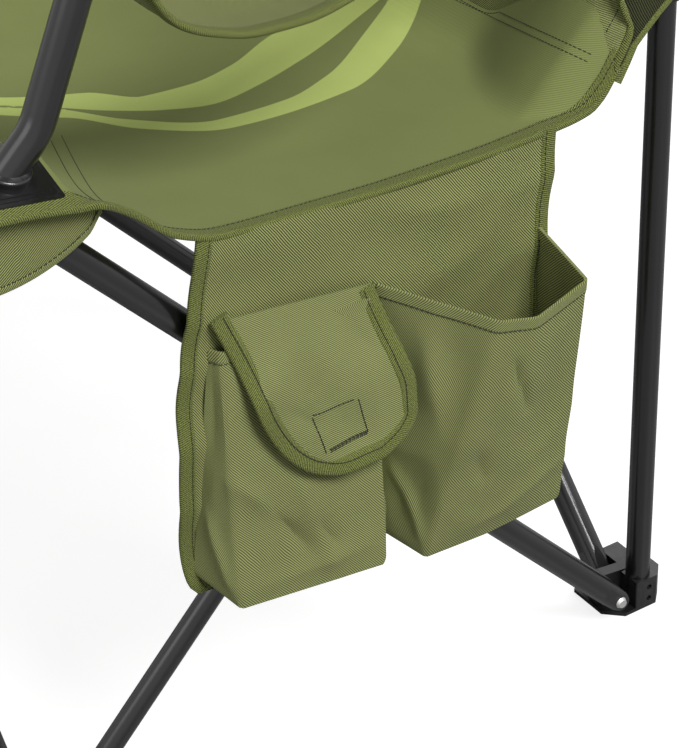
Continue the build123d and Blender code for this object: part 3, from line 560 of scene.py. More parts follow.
def weave_group() -> bpy.types.NodeTree:
    """Ribbed weave over cloth coordinates: rib height and a shade that darkens between the ribs.

    Returns:
        The group, with inputs Vector, Pitch, Angle, Depth and Fleck, and outputs Height and Shade.
    """
    defaults = {"Pitch": 0.002, "Angle": 0.6, "Depth": 0.3, "Fleck": 0.15}
    made, tree, given, result = start_group("Ribbed weave", defaults, ("Height", "Shade"))
    drift = tree.fill(tree.add("ShaderNodeTexNoise"), {"Vector": given["Vector"], "Scale": 60.0})
    shift = tree.add("ShaderNodeVectorMath", drift.outputs[1], (0.5, 0.5, 0.5), operation="SUBTRACT")
    small = tree.tint(shift.outputs[0], 0.0012)
    moved = tree.add("ShaderNodeVectorMath", given["Vector"], small, operation="ADD")
    turned = tree.add("ShaderNodeVectorRotate", rotation_type="Z_AXIS")
    tree.fill(turned, {"Vector": moved.outputs[0], "Angle": given["Angle"]})
    count = tree.tint(turned.outputs[0], tree.math("DIVIDE", 2 * math.pi, given["Pitch"]))
    parts = tree.add("ShaderNodeSeparateXYZ", count).outputs
    rib = tree.math("MULTIPLY_ADD", tree.math("SINE", parts[0]), 0.5, 0.5)
    crossing = tree.math("MULTIPLY_ADD", parts[1], 1.7, parts[0])
    yarn = tree.math("MULTIPLY_ADD", tree.math("SINE", crossing), 0.5, 0.5)
    height = tree.math("MULTIPLY", rib, tree.math("MULTIPLY_ADD", yarn, 0.45, 0.55))
    fleck = tree.math("SUBTRACT", tree.noise(given["Vector"], 1100.0, 1.0), 0.5)
    brightening = 2.58  # keeps the mean shade at 1 for any depth
    slope = tree.math("MULTIPLY", given["Depth"], brightening)
    shade = tree.math("MULTIPLY_ADD", height, slope, tree.math("SUBTRACT", 1.0, given["Depth"]))
    tree.feed(result["Height"], height)
    tree.feed(result["Shade"], tree.math("ADD", shade, tree.math("MULTIPLY", fleck, given["Fleck"])))
    return made


def grain_group() -> bpy.types.NodeTree:
    """Fine surface grain with slow patches, for coated and moulded surfaces.

    Returns:
        The group, with inputs Vector and Scale, and outputs Grain and Patch.
    """
    made, tree, given, result = start_group("Surface grain", {"Scale": 900.0}, ("Grain", "Patch"))
    for output, share in (("Grain", 1.0), ("Patch", 0.02)):
        scale = tree.math("MULTIPLY", given["Scale"], share)
        tree.feed(result[output], tree.noise(given["Vector"], scale))
    return made


def wear_group() -> bpy.types.NodeTree:
    """Lighter edges: a mask that rises where the surface bends outward, broken up by noise. It stands for rubbed marks
    on moulded fittings and rivets, and is a painted highlight along the rims and lips of the polished plates.

    Returns:
        The group, with inputs Vector and Amount, and one output, the edge mask.
    """
    made, tree, given, result = start_group("Edge wear", {"Amount": 0.5}, ("Wear",))
    bend = tree.spread(tree.add("ShaderNodeNewGeometry").outputs["Pointiness"], 0.52, 0.62, 0.0, 1.0)
    patches = tree.spread(tree.noise(given["Vector"], 240.0), 0.42, 0.62, 0.15, 1.0)
    tree.feed(result["Wear"], tree.math("MULTIPLY", tree.math("MULTIPLY", bend, patches), given["Amount"]))
    return made


class Effects:
    """The node groups that the materials share."""

    def __init__(self) -> None:
        """Builds each group once."""
        self.weave = weave_group()
        self.grain = grain_group()
        self.wear = wear_group()


def start_material(name: str) -> tuple[Material, Tree, bpy.types.Node]:
    """An empty node material.

    Args:
        name: The material's name.

    Returns:
        The material, its Tree and its Principled shader.
    """
    material = bpy.data.materials.new(name)
    material.use_nodes = True
    material.node_tree.nodes.clear()
    tree = Tree(material.node_tree)
    shader = tree.add("ShaderNodeBsdfPrincipled")
    tree.fill(tree.add("ShaderNodeOutputMaterial"), {"Surface": shader.outputs[0]})
    return material, tree, shader


@dataclass(frozen=True)
class Canvas:
    """Woven polyester: its colour, rib pitch and direction, and how deep the ribs look.

    accent is the colour of printed bands, read from the vertex values named band.
    """

    name: str
    colour: Colour
    pitch: float = 2.1
    angle: float = 0.5
    depth: float = 0.22
    fleck: float = 0.12
    bump: float = 0.3
    roughness: float = 0.78
    accent: Optional[Colour] = None

    def build(self, effects: Effects) -> Material:
        """Makes the material.

        Args:
            effects: The shared node groups.

        Returns:
            The material.
        """
        material, tree, shader = start_material(self.name)
        cloth = tree.add("ShaderNodeUVMap", uv_map="Cloth").outputs[0]
        weave = tree.group(
            effects.weave, Vector=cloth, Pitch=self.pitch * MM, Angle=self.angle, Depth=self.depth, Fleck=self.fleck
        )
        place = tree.add("ShaderNodeTexCoord").outputs["Object"]
        fade = tree.spread(tree.noise(place, 9.0), 0.3, 0.7, 0.93, 1.07)
        colour = self.colour
        if self.accent:
            edge = tree.add("ShaderNodeAttribute", attribute_name="band", attribute_type="GEOMETRY").outputs["Fac"]
            colour = tree.mix(tree.spread(edge, -0.4, 0.4, 0.0, 1.0), self.colour, self.accent)
        tree.fill(shader, {
            "Base Color": tree.tint(tree.tint(colour, weave["Shade"]), fade),
            "Roughness": tree.spread(weave["Height"], 0, 1, self.roughness + 0.1, self.roughness - 0.06),
            "Specular IOR Level": 0.2, "Sheen Weight": 0.04, "Sheen Roughness": 0.5,
            "Normal": tree.bump(weave["Height"], self.bump, 0.0005),
        })
        return material


@dataclass(frozen=True)
class HardFinish:
    """A coated, moulded or bare metal surface with fine grain and lighter edges: rubbed on the moulded fittings and
    rivets, a painted highlight on the polished plates.
    """

    name: str
    colour: Colour
    worn: Colour
    metallic: float = 0.0
    roughness: float = 0.4
    variation: float = 0.08
    grain_scale: float = 900.0
    bump: float = 0.08
    wear: float = 0.4
    coat: float = 0.0

    def build(self, effects: Effects) -> Material:
        """Makes the material.

        Args:
            effects: The shared node groups.

        Returns:
            The material.
        """
        material, tree, shader = start_material(self.name)
        place = tree.add("ShaderNodeTexCoord").outputs["Object"]
        grain = tree.group(effects.grain, Vector=place, Scale=self.grain_scale)
        # lighter edges: rubbed marks on some finishes, a painted highlight on the polished plates
        wear = tree.group(effects.wear, Vector=place, Amount=self.wear)
        base = tree.tint(self.colour, tree.spread(grain["Patch"], 0.3, 0.7, 0.85, 1.15))
        smooth, rough = self.roughness - self.variation, self.roughness + self.variation
        tree.fill(shader, {
            "Base Color": tree.mix(wear["Wear"], base, self.worn),
            "Roughness": tree.spread(grain["Patch"], 0.3, 0.7, smooth, rough),
            "Metallic": self.metallic, "Coat Weight": self.coat, "Coat Roughness": 0.3,
            "Normal": tree.bump(grain["Grain"], self.bump, 0.0003),
        })
        return material


class Finishes:
    """Every material of the chair."""

    def __init__(self) -> None:
        """Builds the materials."""
        effects = Effects()
        self.printed = Canvas(
            "Printed seat canvas", srgb(126, 134, 80), pitch=1.3, angle=0.9, depth=0.2, fleck=0.08, bump=0.14,
            accent=srgb(190, 206, 118),
        ).build(effects)
        self.canvas = Canvas("Ribbed canvas", srgb(122, 127, 79), pitch=1.3, angle=0.71, depth=1.0).build(effects)
        self.pocket = Canvas("Pocket canvas", srgb(126, 131, 83), pitch=1.3, angle=0.71, depth=0.8).build(effects)
        self.webbing = Canvas(
            "Edge webbing", srgb(108, 115, 60), pitch=1.25, angle=0.5, depth=0.75, fleck=2.4, bump=0.7, roughness=0.7
        ).build(effects)
        self.net = Canvas(
            "Corner net", srgb(50, 53, 30), pitch=1.4, angle=0.8, depth=0.9, fleck=1.4, bump=0.9
        ).build(effects)
        self.thread = HardFinish(
            "Sewing thread", srgb(34, 36, 22), srgb(60, 62, 40), roughness=0.8, grain_scale=2500.0, bump=0.3, wear=0.0
        ).build(effects)
        self.coated = HardFinish(
            "Black powder coat", (0.006, 0.006, 0.0065, 1.0), (0.03, 0.03, 0.032, 1.0), roughness=0.22, bump=0.04,
            grain_scale=1400.0, variation=0.02, wear=0.0, coat=0.4,
        ).build(effects)
        self.moulded = HardFinish(
            "Black moulded plastic", (0.009, 0.009, 0.01, 1.0), (0.05, 0.05, 0.052, 1.0), roughness=0.36,
            bump=0.12, grain_scale=1800.0, wear=0.3,
        ).build(effects)
        # The polished plates' lighter edges are a painted highlight along their rims and lips.
        self.polished = HardFinish(
            "Polished black plastic", (0.007, 0.007, 0.008, 1.0), (0.09, 0.09, 0.092, 1.0), roughness=0.17,
            variation=0.03, bump=0.03, grain_scale=1800.0, wear=0.9, coat=0.5,
        ).build(effects)
        self.steel = HardFinish(
            "Bright rivet steel", (0.82, 0.82, 0.8, 1.0), (0.9, 0.9, 0.89, 1.0), metallic=1.0, roughness=0.45,
            bump=0.06, wear=0.3,
        ).build(effects)


def dress(obj: Piece, material: Material) -> Piece:
    """Gives an object one material, and gives it back."""
    obj.data.materials.clear()
    obj.data.materials.append(material)
    return obj


# ---- Following the fold -------------------------------------------------------------------------
@dataclass(frozen=True)
class FoldRule:
    """How a piece of cloth that spans the frame follows it as it closes.

    It rides on body; axis, anchor and keep are not used. puller is a body that draws the cloth with
    it, and share gives how much at each vertex, from the vertices' places in metres.
    """

    body: str
    axis: Point
    anchor: Point
    keep: float
    puller: str
    share: Callable[[Array], Array]

    def apply(self, obj: Piece) -> None:
        """Makes one piece follow the frame."""
        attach(obj, self.body)
        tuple(self.axis)
        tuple(self.anchor)
        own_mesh(obj)
        places = np.array([v.co for v in obj.data.vertices])
        held = obj.vertex_groups.new(name="drawn_0")
        for index, weight in enumerate(np.clip(self.share(places), 0, 1)):
            if weight > 0:
                held.add([index], float(weight), "REPLACE")
        hook = obj.modifiers.new("drawn_0", "HOOK")
        hook.object = frame["bodies"][self.puller]
        hook.vertex_group = held.name
        hook.falloff_type = "NONE"
        hook.strength = 1.0
        hook.matrix_inverse = Matrix.Identity(4)


@dataclass(frozen=True)
class Sewn:
    """A piece of the chair's cloth with what is sewn to it; rigid holds trims that keep their shape on a body."""

    sheet: Piece
    trims: Sequence[Piece]
    rigid: Sequence[tuple[Piece, str]] = ()

    def finish(
        self, flat: Pair, held: str, rests_on: Sequence[str], nodes: Sequence[str] = (),
        body: str = "", rule: Optional[FoldRule] = None, area: Optional[float] = None,
    ) -> None:
        """Args:
            flat: Width and length of the cut, in millimetres; not used.
            rests_on: What it hangs from or lies on; not used.
            nodes: The CAD nodes that it stands for.
            body: The body that it rides on, where no rule is given.
            rule: How it follows the fold.
            area: The cut's area in square metres, where it isn't a rectangle; not used.
        """
        for piece in (self.sheet, *self.trims):
            if rule:
                rule.apply(piece)
            else:
                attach(piece, body)
        for piece, carrier in self.rigid:
            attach(piece, carrier)
        if nodes:
            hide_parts(*nodes)
        list(self.trims)
        [piece for piece, _ in self.rigid]
        log.info("%s with %d trims", self.sheet.name, len(self.trims))


@dataclass(frozen=True)
class SoftPiece:
    """Sewn cloth: where it stands, its finishes, the form of the seat that it belongs to and its side."""

    layout: Layout
    finishes: "Finishes"
    form: "SeatForm"
    side: Side = Side.LEFT

    @property
    def half(self) -> float:
        """Half the spacing of the rear posts."""
        return self.layout.half_width

    def place(self, points: Array) -> Array:
        """Turns local points of the piece's side into metres."""
        return self.layout.place(self.side, points)

    def cloth(
        self, name: str, grid: Array, thickness: float, finish: Material, sharp: float = SHARP
    ) -> Piece:
        """A sheet of cloth in its finish; takes what shell takes."""
        return dress(shell(name, grid, thickness, sharp), finish)

    def bind(self, name: str, path: Array, inward: Array, normal: Array, *sizes: float | Array) -> Piece:
        """Webbing over an edge, in its finish; takes what band takes."""
        return dress(band(name, path, inward, normal, *sizes), self.finishes.webbing)

    def bind_sides(
        self, names: Sequence[str], grid: Array, normals: Array, sizes: Row, step: int, stitches: Pair
    ) -> tuple[list[Piece], list[tuple[Array, Array]]]:
        """Webbing along a grid's first and last column, each with a line to sew.

        Args:
            names: The webbings' names.
            grid: The cloth's points, in metres.
            normals: Its normals.
            sizes: Width, thickness and overhang of the webbing, as for band.
            step: How many columns into the cloth its direction is taken from.
            stitches: How far the line lies in from the edge and how high over the cloth's middle.

        Returns:
            The webbings and the lines.
        """
        trims, lines, (inset, rise) = [], [], stitches
        for name, column, inside in zip(names, (0, -1), (step, -1 - step)):
            path, inward, normal = grid[:, column], grid[:, inside] - grid[:, column], normals[:, column]
            trims.append(self.bind(name, path, inward, normal, *sizes))
            lines.append((path + unit(inward) * inset * MM + normal * rise * MM, normal))
        return trims, lines

    def sew(self, name: str, lines: Lines, stitching: Stitching = Stitching()) -> Piece:
        """Stitches along lines, in the thread's finish."""
        return dress(stitching.lay(name, lines), self.finishes.thread)


# ---- Seat ---------------------------------------------------------------------------------------
@dataclass(frozen=True)
class SeatForm:
    """The hammock seat's surface. Each station gives setback, edge offset, edge height and middle height.

    Falls give where the cloth leaves a leg's top, how steeply and with what power. ripple is a height and two
    lengths. plate is the middle of a corner plate, with its slopes, its half width and how far its pull reaches.
    """

    stations: tuple[tuple[float, float, float, float], ...] = (
        (-497.0, 43.5, 512.5, 480.0),
        (-469.0, 41.5, 508.5, 466.0),
        (-434.0, 42.0, 501.0, 450.0),
        (-411.0, 34.5, 485.0, 441.0),
        (-378.0, 28.0, 456.0, 431.0),
        (-345.0, 24.5, 443.0, 424.0),
        (-293.0, 24.0, 439.0, 417.0),
        (-220.0, 24.5, 435.5, 414.0),
        (-160.0, 24.5, 435.0, 416.0),
        (-97.0, 24.0, 437.0, 427.0),
        (-76.0, 23.5, 440.0, 432.0),
        (-66.0, 22.5, 445.5, 437.0),
        (-52.0, 20.5, 457.0, 446.0),
    )
    half_width: float = 254.8
    ripple: Point = (1.6, 23.0, 60.0)
    leg_offset: float = -8.95
    leg_top_at_rear: float = 516.2
    leg_slope: float = 1.0612
    leg_cover: float = 3.0
    pivot_setback: float = -29.0
    outboard_fall: Point = (4.0, 0.3, 1.5)
    inboard_fall: Point = (5.0, 0.03, 1.6)
    cross_leg_top: float = 512.4
    cross_inset: float = 27.3
    cross_behind: float = -462.0
    cross_end: float = -24.0
    cross_fall: float = 0.4
    blend: float = 9.0
    plate: Point = (11.4, -473.5, 521.0)
    plate_out: float = 0.3134
    plate_back: float = 0.1835
    plate_drop: float = 4.2
    plate_half: float = 26.0
    plate_pull: float = 16.0

    def edge(self, setback: Array) -> tuple[Array, Array, Array]:
        """Edge offset, edge height and middle height at each setback."""
        known, *columns = zip(*self.stations)
        return tuple(smooth_curve(setback, known, column) for column in columns)

    def roof(self, offset: Array, setback: Array, drop: float) -> Array:
        """Heights at a distance below the corner plate's plane."""
        x, y, z = self.plate
        return z - (offset - x) * self.plate_out - (setback - y) * self.plate_back - drop

    def height(self, offset: Array, setback: Array) -> Array:
        """Height of the cloth.

        Args:
            offset: Offsets outboard of the nearer post's axis.
            setback: Setbacks behind it.

        Returns:
            Heights above the floor.
        """
        reach, high, low = self.edge(setback)
        share = np.clip((reach - offset) / (self.half_width + reach), 0, 1)
        hang = high + (low - high) * (1 - (1 - share) ** 2)
        swing, along, aside = self.ripple
        hang = hang + swing * np.sin(setback / along + offset / aside) * share * (1 - share)
        leg = self.leg_top_at_rear + (setback - self.pivot_setback) * self.leg_slope + self.leg_cover
        away = offset - self.leg_offset
        falls = [
            steep * np.maximum(sign * away - start, 0) ** power
            for sign, (start, steep, power) in ((1, self.outboard_fall), (-1, self.inboard_fall))
        ]
        over = leg - np.where(away > 0, *falls)
        inset = np.maximum(-offset, self.cross_inset) - self.cross_inset
        cross = self.cross_leg_top - inset * self.leg_slope + self.leg_cover
        cross = np.where(setback < self.cross_behind, cross, 0)
        cross = np.where(offset < self.cross_end, cross, cross - self.cross_fall * (offset - self.cross_end))
        for least in (over, cross):
            gap, near = least - hang, self.blend
            hang = hang + np.where(gap > -near, (gap + near) ** 2 / (4 * near), 0) * (gap < near)
            hang = hang + np.where(gap >= near, gap, 0)
        x, y, _ = self.plate
        away = np.maximum(np.abs(offset - x) - self.plate_half, np.abs(setback - y) - self.plate_half)
        pressed = np.clip(1 - away / self.plate_pull, 0, 1)
        pressed = pressed * pressed * (3 - 2 * pressed)
        return hang * (1 - pressed) + self.roof(offset, setback, self.plate_drop) * pressed


@dataclass(frozen=True)
class PrintedBand:
    """A printed band: setbacks with the offsets of its inboard and outboard edges."""

    stations: tuple[tuple[float, float, float], ...]

    def inside(self, offset: Array, setback: Array) -> Array:
        """How far inside the band each point lies, in millimetres; negative outside it."""
        known, *edges = zip(*self.stations)
        inboard, outboard = (smooth_curve(setback, known, edge) for edge in edges)
        return np.minimum(offset - inboard, outboard - offset)


@dataclass(frozen=True)
class Seat(SoftPiece):
    """The hammock seat: printed canvas, edge webbing all round the open edges and sewn seams.

    The rear seam lies in a plane that leans forward over the leg: rear_seam_plane gives its setback at
    rear_seam_point, (offset, height), and its slopes along offset and height.
    """

    columns: int = 141
    rows: int = 111
    thickness: float = 1.6
    front: float = -497.0
    rear: float = -52.0
    edge_reach: float = 25.0
    binding_width: float = 13.0
    binding_thickness: float = 4.4
    bead_width: float = 4.0
    strip_thickness: float = 1.3
    narrowing_by: float = 5.5
    narrowing_from: float = -105.0
    narrowing_length: float = 45.0
    stitch_inset: float = 10.5
    seam_ends: tuple[tuple[Pair, Pair], ...] = (((-172.0, -358.0), (22.0, -422.0)), ((-170.0, -350.0), (22.0, -413.0)))
    rear_seam_insets: Pair = (0.0, 9.0)
    rear_seam_reach: float = 0.955
    rear_seam_plane: Point = (-58.0, 0.113, -1.458)
    rear_seam_point: Pair = (21.0, 467.0)
    front_reach: float = 0.985
    plate_reach: float = 0.78
    plate_rear: float = -446.0
    front_pivot: float = -484.0
    slider_pivot: float = -29.0
    folded_width: float = 0.335
    flat: Pair = (590.0, 470.0)
    bands: tuple[PrintedBand, ...] = (
        PrintedBand((
            (-497, -286, -276), (-420, -262, -250), (-340, -237, -219), (-300, -228, -194), (-272, -204, -178),
            (-235, -203, -166), (-200, -210, -172), (-150, -231, -187), (-60, -240, -212),
        )),
        PrintedBand((
            (-497, -268, -256), (-420, -244, -230), (-330, -210, -194), (-300, -178, -160), (-250, -143, -126),
            (-200, -140, -121), (-160, -152, -123), (-110, -180, -143), (-60, -210, -180),
        )),
    )

    def surface(self, across: Array, setback: Array) -> Array:
        """Points on the seat in metres: across runs from -1 at the right edge to 1 at the left edge."""
        lateral = across * (self.half + self.form.edge(setback)[0])
        height = self.form.height(np.abs(lateral) - self.half, setback)
        return self.place(np.stack([lateral - self.half, setback, height], axis=-1))

    def line(self, across: Array, setback: Array, lift: float = 0.0) -> tuple[Array, Array]:
        """A line on the seat's upper face, or lift millimetres over it, and its normals."""
        here, normal = surface_points(self.surface, across, setback)
        return here + normal * (self.thickness / 2 + lift) * MM, normal

    def line_at(self, side: Side, offset: Array, setback: Array) -> tuple[Array, Array]:
        """A line through offsets and setbacks of one side, and its normals."""
        reach = self.form.edge(setback)[0]
        return self.line(side.value * (self.half + offset) / (self.half + reach), setback)

    def seam(self, side: Side, start: Pair, end: Pair) -> tuple[Array, Array]:
        """A straight seam between two points given as (offset, setback), with its normals."""
        t = np.linspace(0, 1, 80)
        return self.line_at(side, *(start[k] + (end[k] - start[k]) * t for k in (0, 1)))

    def rear_seam(self, side: Side, inset: float) -> tuple[Array, Array]:
        """Half of the seam in front of the backrest."""
        (base, out, up), (edge, level) = self.rear_seam_plane, self.rear_seam_point
        across = side.value * np.linspace(0.0, self.rear_seam_reach, 90)
        offset = (np.abs(across) - 1) * self.half + edge * np.abs(across)
        setback = np.full_like(offset, self.rear - 8.0)
        for _ in range(40):
            height = self.form.height(offset, setback)
            wanted = base - inset + out * (offset - edge) + up * (height - level)
            setback = np.clip(setback + 0.3 * (wanted - setback), -120.0, self.rear - 2.0)
        return self.line_at(side, offset, setback)

    def narrowing(self, setback: Array) -> Array:
        """How much narrower the webbing is at each setback, as it runs into the rear corner."""
        return self.narrowing_by * np.clip((setback - self.narrowing_from) / self.narrowing_length, 0, 1)

    def edge_band(self, name: str, across: Array, setback: Array, inward: Array) -> list[Piece]:
        """Webbing along an edge of the seat: its bead and the strip that lies on the cloth.

        Args:
            name: The webbing's name.
            across: Places of the edge's points across the seat.
            setback: Their setbacks.
            inward: The steps in across and setback that lead a millimetre into the cloth.

        Returns:
            The bead and the strip.
        """
        here, normal = self.line(across, setback)
        inner, _ = self.line(across + inward[0] * 6, setback + inward[1] * 6)
        below = normal * self.thickness / 2 * MM
        bead = self.bind(name, here - below, inner - here, normal, self.bead_width, self.binding_thickness)
        rows = []
        for share in np.linspace(0.04, 1.0, 9):
            inset = share * (self.binding_width - self.narrowing(setback))
            path, up = self.line(across + inward[0] * inset, setback + inward[1] * inset)
            rows.append(path + up * self.strip_thickness / 2 * MM)
        strip = np.stack(rows, axis=1)
        return [bead, self.cloth(f"{name}_strip", strip, self.strip_thickness, self.finishes.webbing)]

    def build(self) -> None:
        """Makes the seat, its webbing and its stitches, and ties them to the frame."""
        a, y = np.meshgrid(np.linspace(-1, 1, self.columns), np.linspace(self.front, self.rear, self.rows))
        grid = self.surface(a, y)
        sheet = self.cloth("seat_canvas", grid, self.thickness, self.finishes.printed)
        offsets = grid[..., 0] / MM - self.layout.middle - self.half
        inside = np.maximum(*(printed.inside(offsets, y) for printed in self.bands))
        add_values(sheet, "band", np.concatenate([inside.ravel()] * 2))

        trims, lines = [], []
        along = np.linspace(self.front, self.rear + 2, 120)
        width = self.half + self.edge_reach
        inset = (self.stitch_inset - self.narrowing(along)) / width
        behind = along > self.plate_rear
        for side in Side:
            edge = np.full_like(along, float(side.value))
            trims += self.edge_band(f"seat_{side.hand}_webbing", edge, along, np.array([-side.value / width, 0.0]))
            lines.append(self.line((edge * (1 - inset))[behind], along[behind], self.strip_thickness))
            lines += [self.seam(side, start, end) for start, end in self.seam_ends]
        spread = np.linspace(-self.front_reach, self.front_reach, 160)
        front = np.full_like(spread, self.front)
        trims += self.edge_band("seat_front_webbing", spread, front, np.array([0.0, 1.0]))
        lines.append(self.line(spread * self.plate_reach, front + self.stitch_inset, self.strip_thickness))
        lines += [self.rear_seam(side, inset) for side in Side for inset in self.rear_seam_insets]
        trims.append(self.sew("seat_stitches", lines))
        Sewn(sheet, trims).finish(
            self.flat, "stretched", ["front_left_plate", "front_right_plate", "left_front_leg"], ["seat"],
            rule=self.rule(),
        )

    def rule(self) -> FoldRule:
        """The seat rides on the left slider, and its front edge follows the front corner."""
        pivot, front = self.layout.rear + self.slider_pivot, self.layout.rear + self.front_pivot

        def drawn(places: Array) -> Array:
            return (pivot - places[:, 1] / MM) / (pivot - front)

        left = (self.layout.middle + self.half) * MM
        return FoldRule(
            "rear_left_slider_body", (1, 0, 0), (left, 0, 0), self.folded_width, "front_left_corner", drawn
        )


# ---- Backrest -----------------------------------------------------------------------------------
@dataclass(frozen=True)
class Backrest(SoftPiece):
    """The backrest: one sheet from the seat's rear seam to the posts' tops, with sleeves round the posts.

    At each height its edge has an offset, and its edge and middle have setbacks.
    """

    heights: Row = (452, 458, 468, 480, 487, 493, 499, 510, 522, 545, 575, 640, 780, 925)
    side_setbacks: Row = (-54, -51, -45, -39.5, -43, -44, -40, -38, -37, -24, -8, -1, 0, 0)
    middle_setbacks: Row = (-53, -50.5, -46, -41, -38, -35.5, -33, -28, -21, -3, 7, 20, 34, 26)
    side_offsets: Row = (20.5, 20, 20, 18.5, 15.5, 12, 8, 2, -4, -10, -11.5, -11, -9, -9)
    bow: float = 3.2
    rumple: Rumple = Rumple(1.8, 120.0, 4.0, (1, 1, 0.4))
    joined_below: float = 560.0
    overlap: float = 2.0
    thickness: float = 1.6
    top: float = 924.0
    sleeve_radius: float = 11.2
    sleeve_bottom: float = 742.0
    webbing_levels: Pair = (455.0, 738.0)
    widening: Pair = (500.0, 560.0)
    webbing_widths: Pair = (7.0, 13.0)
    webbing_thickness: float = 3.4
    top_webbing: Pair = (14.0, 4.2)
    top_stitches: float = 12.0
    top_reach: float = 0.96
    side_stitches: Pair = (0.955, 0.985)
    rise_levels: Pair = (535.0, 735.0)
    folded_width: float = 0.335
    flat: Pair = (515.0, 520.0)

    def surface(self, across: Array, height: Array) -> Array:
        """Points on the backrest in metres: across runs from -1 at the right edge to 1 at the left edge."""
        tables = (self.side_setbacks, self.middle_setbacks, self.side_offsets)
        side, middle, edge = (smooth_curve(height, self.heights, table) for table in tables)
        lateral = across * (self.half + edge)
        setback = middle + (side - middle) * np.abs(across) ** self.bow
        share = np.clip((self.joined_below - height) / (self.joined_below - self.heights[0]), 0, 1)
        offset = np.abs(lateral) - self.half
        lift = (self.form.height(offset, np.full_like(offset, Seat.rear)) - self.heights[0] - self.overlap) * share
        points = np.stack([lateral - self.half, setback, height + lift], axis=-1)
        points[..., 1] += self.rumple.at(points) * (1 - np.abs(across) ** 4)
        return self.place(points)

    def line(self, across: Array, height: Array) -> tuple[Array, Array]:
        """A line on the backrest's front face and its normals."""
        here, normal = surface_points(self.surface, across, height)
        normal = normal * np.where(normal[:, 1:2] > 0, -1.0, 1.0)
        return here + normal * self.thickness * MM / 2, normal

    def sleeve(self, side: Side) -> Piece:
        """The tube of cloth round one post."""
        t, z = np.meshgrid(np.linspace(0, 2 * math.pi, 33), np.linspace(self.sleeve_bottom, self.top, 30))
        swell = 0.35 * np.sin(z / 11.0 + 2 * np.sin(t)) + self.sleeve_radius
        grid = self.layout.place(side, np.stack([swell * np.cos(t), swell * np.sin(t), z], axis=-1))
        return self.cloth(f"back_{side.hand}_sleeve", grid, self.thickness, self.finishes.canvas)

    def build(self) -> None:
        """Makes the backrest, its sleeves, webbing and stitches, and ties them to the frame."""
        levels = np.concatenate([np.linspace(self.heights[0], 600, 50), np.linspace(605, self.top, 60)])
        grid = self.surface(*np.meshgrid(np.linspace(-1, 1, 91), levels))
        sheet = self.cloth("back_canvas", grid, self.thickness, self.finishes.canvas)
        trims, lines, sleeves = [], [], []
        lower = np.linspace(*self.webbing_levels, 90)
        upper = np.linspace(self.sleeve_bottom, self.top, 60)
        width = np.interp(lower, self.widening, self.webbing_widths)
        for side in Side:
            edge = np.full_like(lower, float(side.value))
            path, normal = self.line(edge, lower)
            inner, _ = self.line(edge * 0.98, lower)
            name = f"back_{side.hand}_webbing"
            trims.append(self.bind(name, path, inner - path, normal, width, self.webbing_thickness))
            sleeves.append((self.sleeve(side), side.post_body))
            by_webbing, by_sleeve = self.side_stitches
            lines.append(self.line(edge * by_webbing, lower))
            lines.append(self.line(np.full_like(upper, side.value * by_sleeve), upper))
        spread = np.linspace(-self.top_reach, self.top_reach, 120)
        top = np.full_like(spread, self.top)
        path, normal = self.line(spread, top)
        inner, _ = self.line(spread, top - 6)
        trims.append(self.bind("back_top_webbing", path, inner - path, normal, *self.top_webbing))
        lines.append(self.line(spread, top - self.top_stitches))
        trims.append(self.sew("back_stitches", lines))
        Sewn(sheet, trims, sleeves).finish(
            self.flat, "stretched", ["rear_left_post", "rear_right_post"], ["backrest"], rule=self.rule()
        )

    def rule(self) -> FoldRule:
        """The backrest rides on the left post, and its lower edge rises with the slider."""
        low, high = self.rise_levels

        def drawn(places: Array) -> Array:
            return (high - places[:, 2] / MM) / (high - low)

        left = (self.layout.middle + self.half) * MM
        return FoldRule("frame_root", (1, 0, 0), (left, 0, 0), self.folded_width, "rear_left_slider_body", drawn)


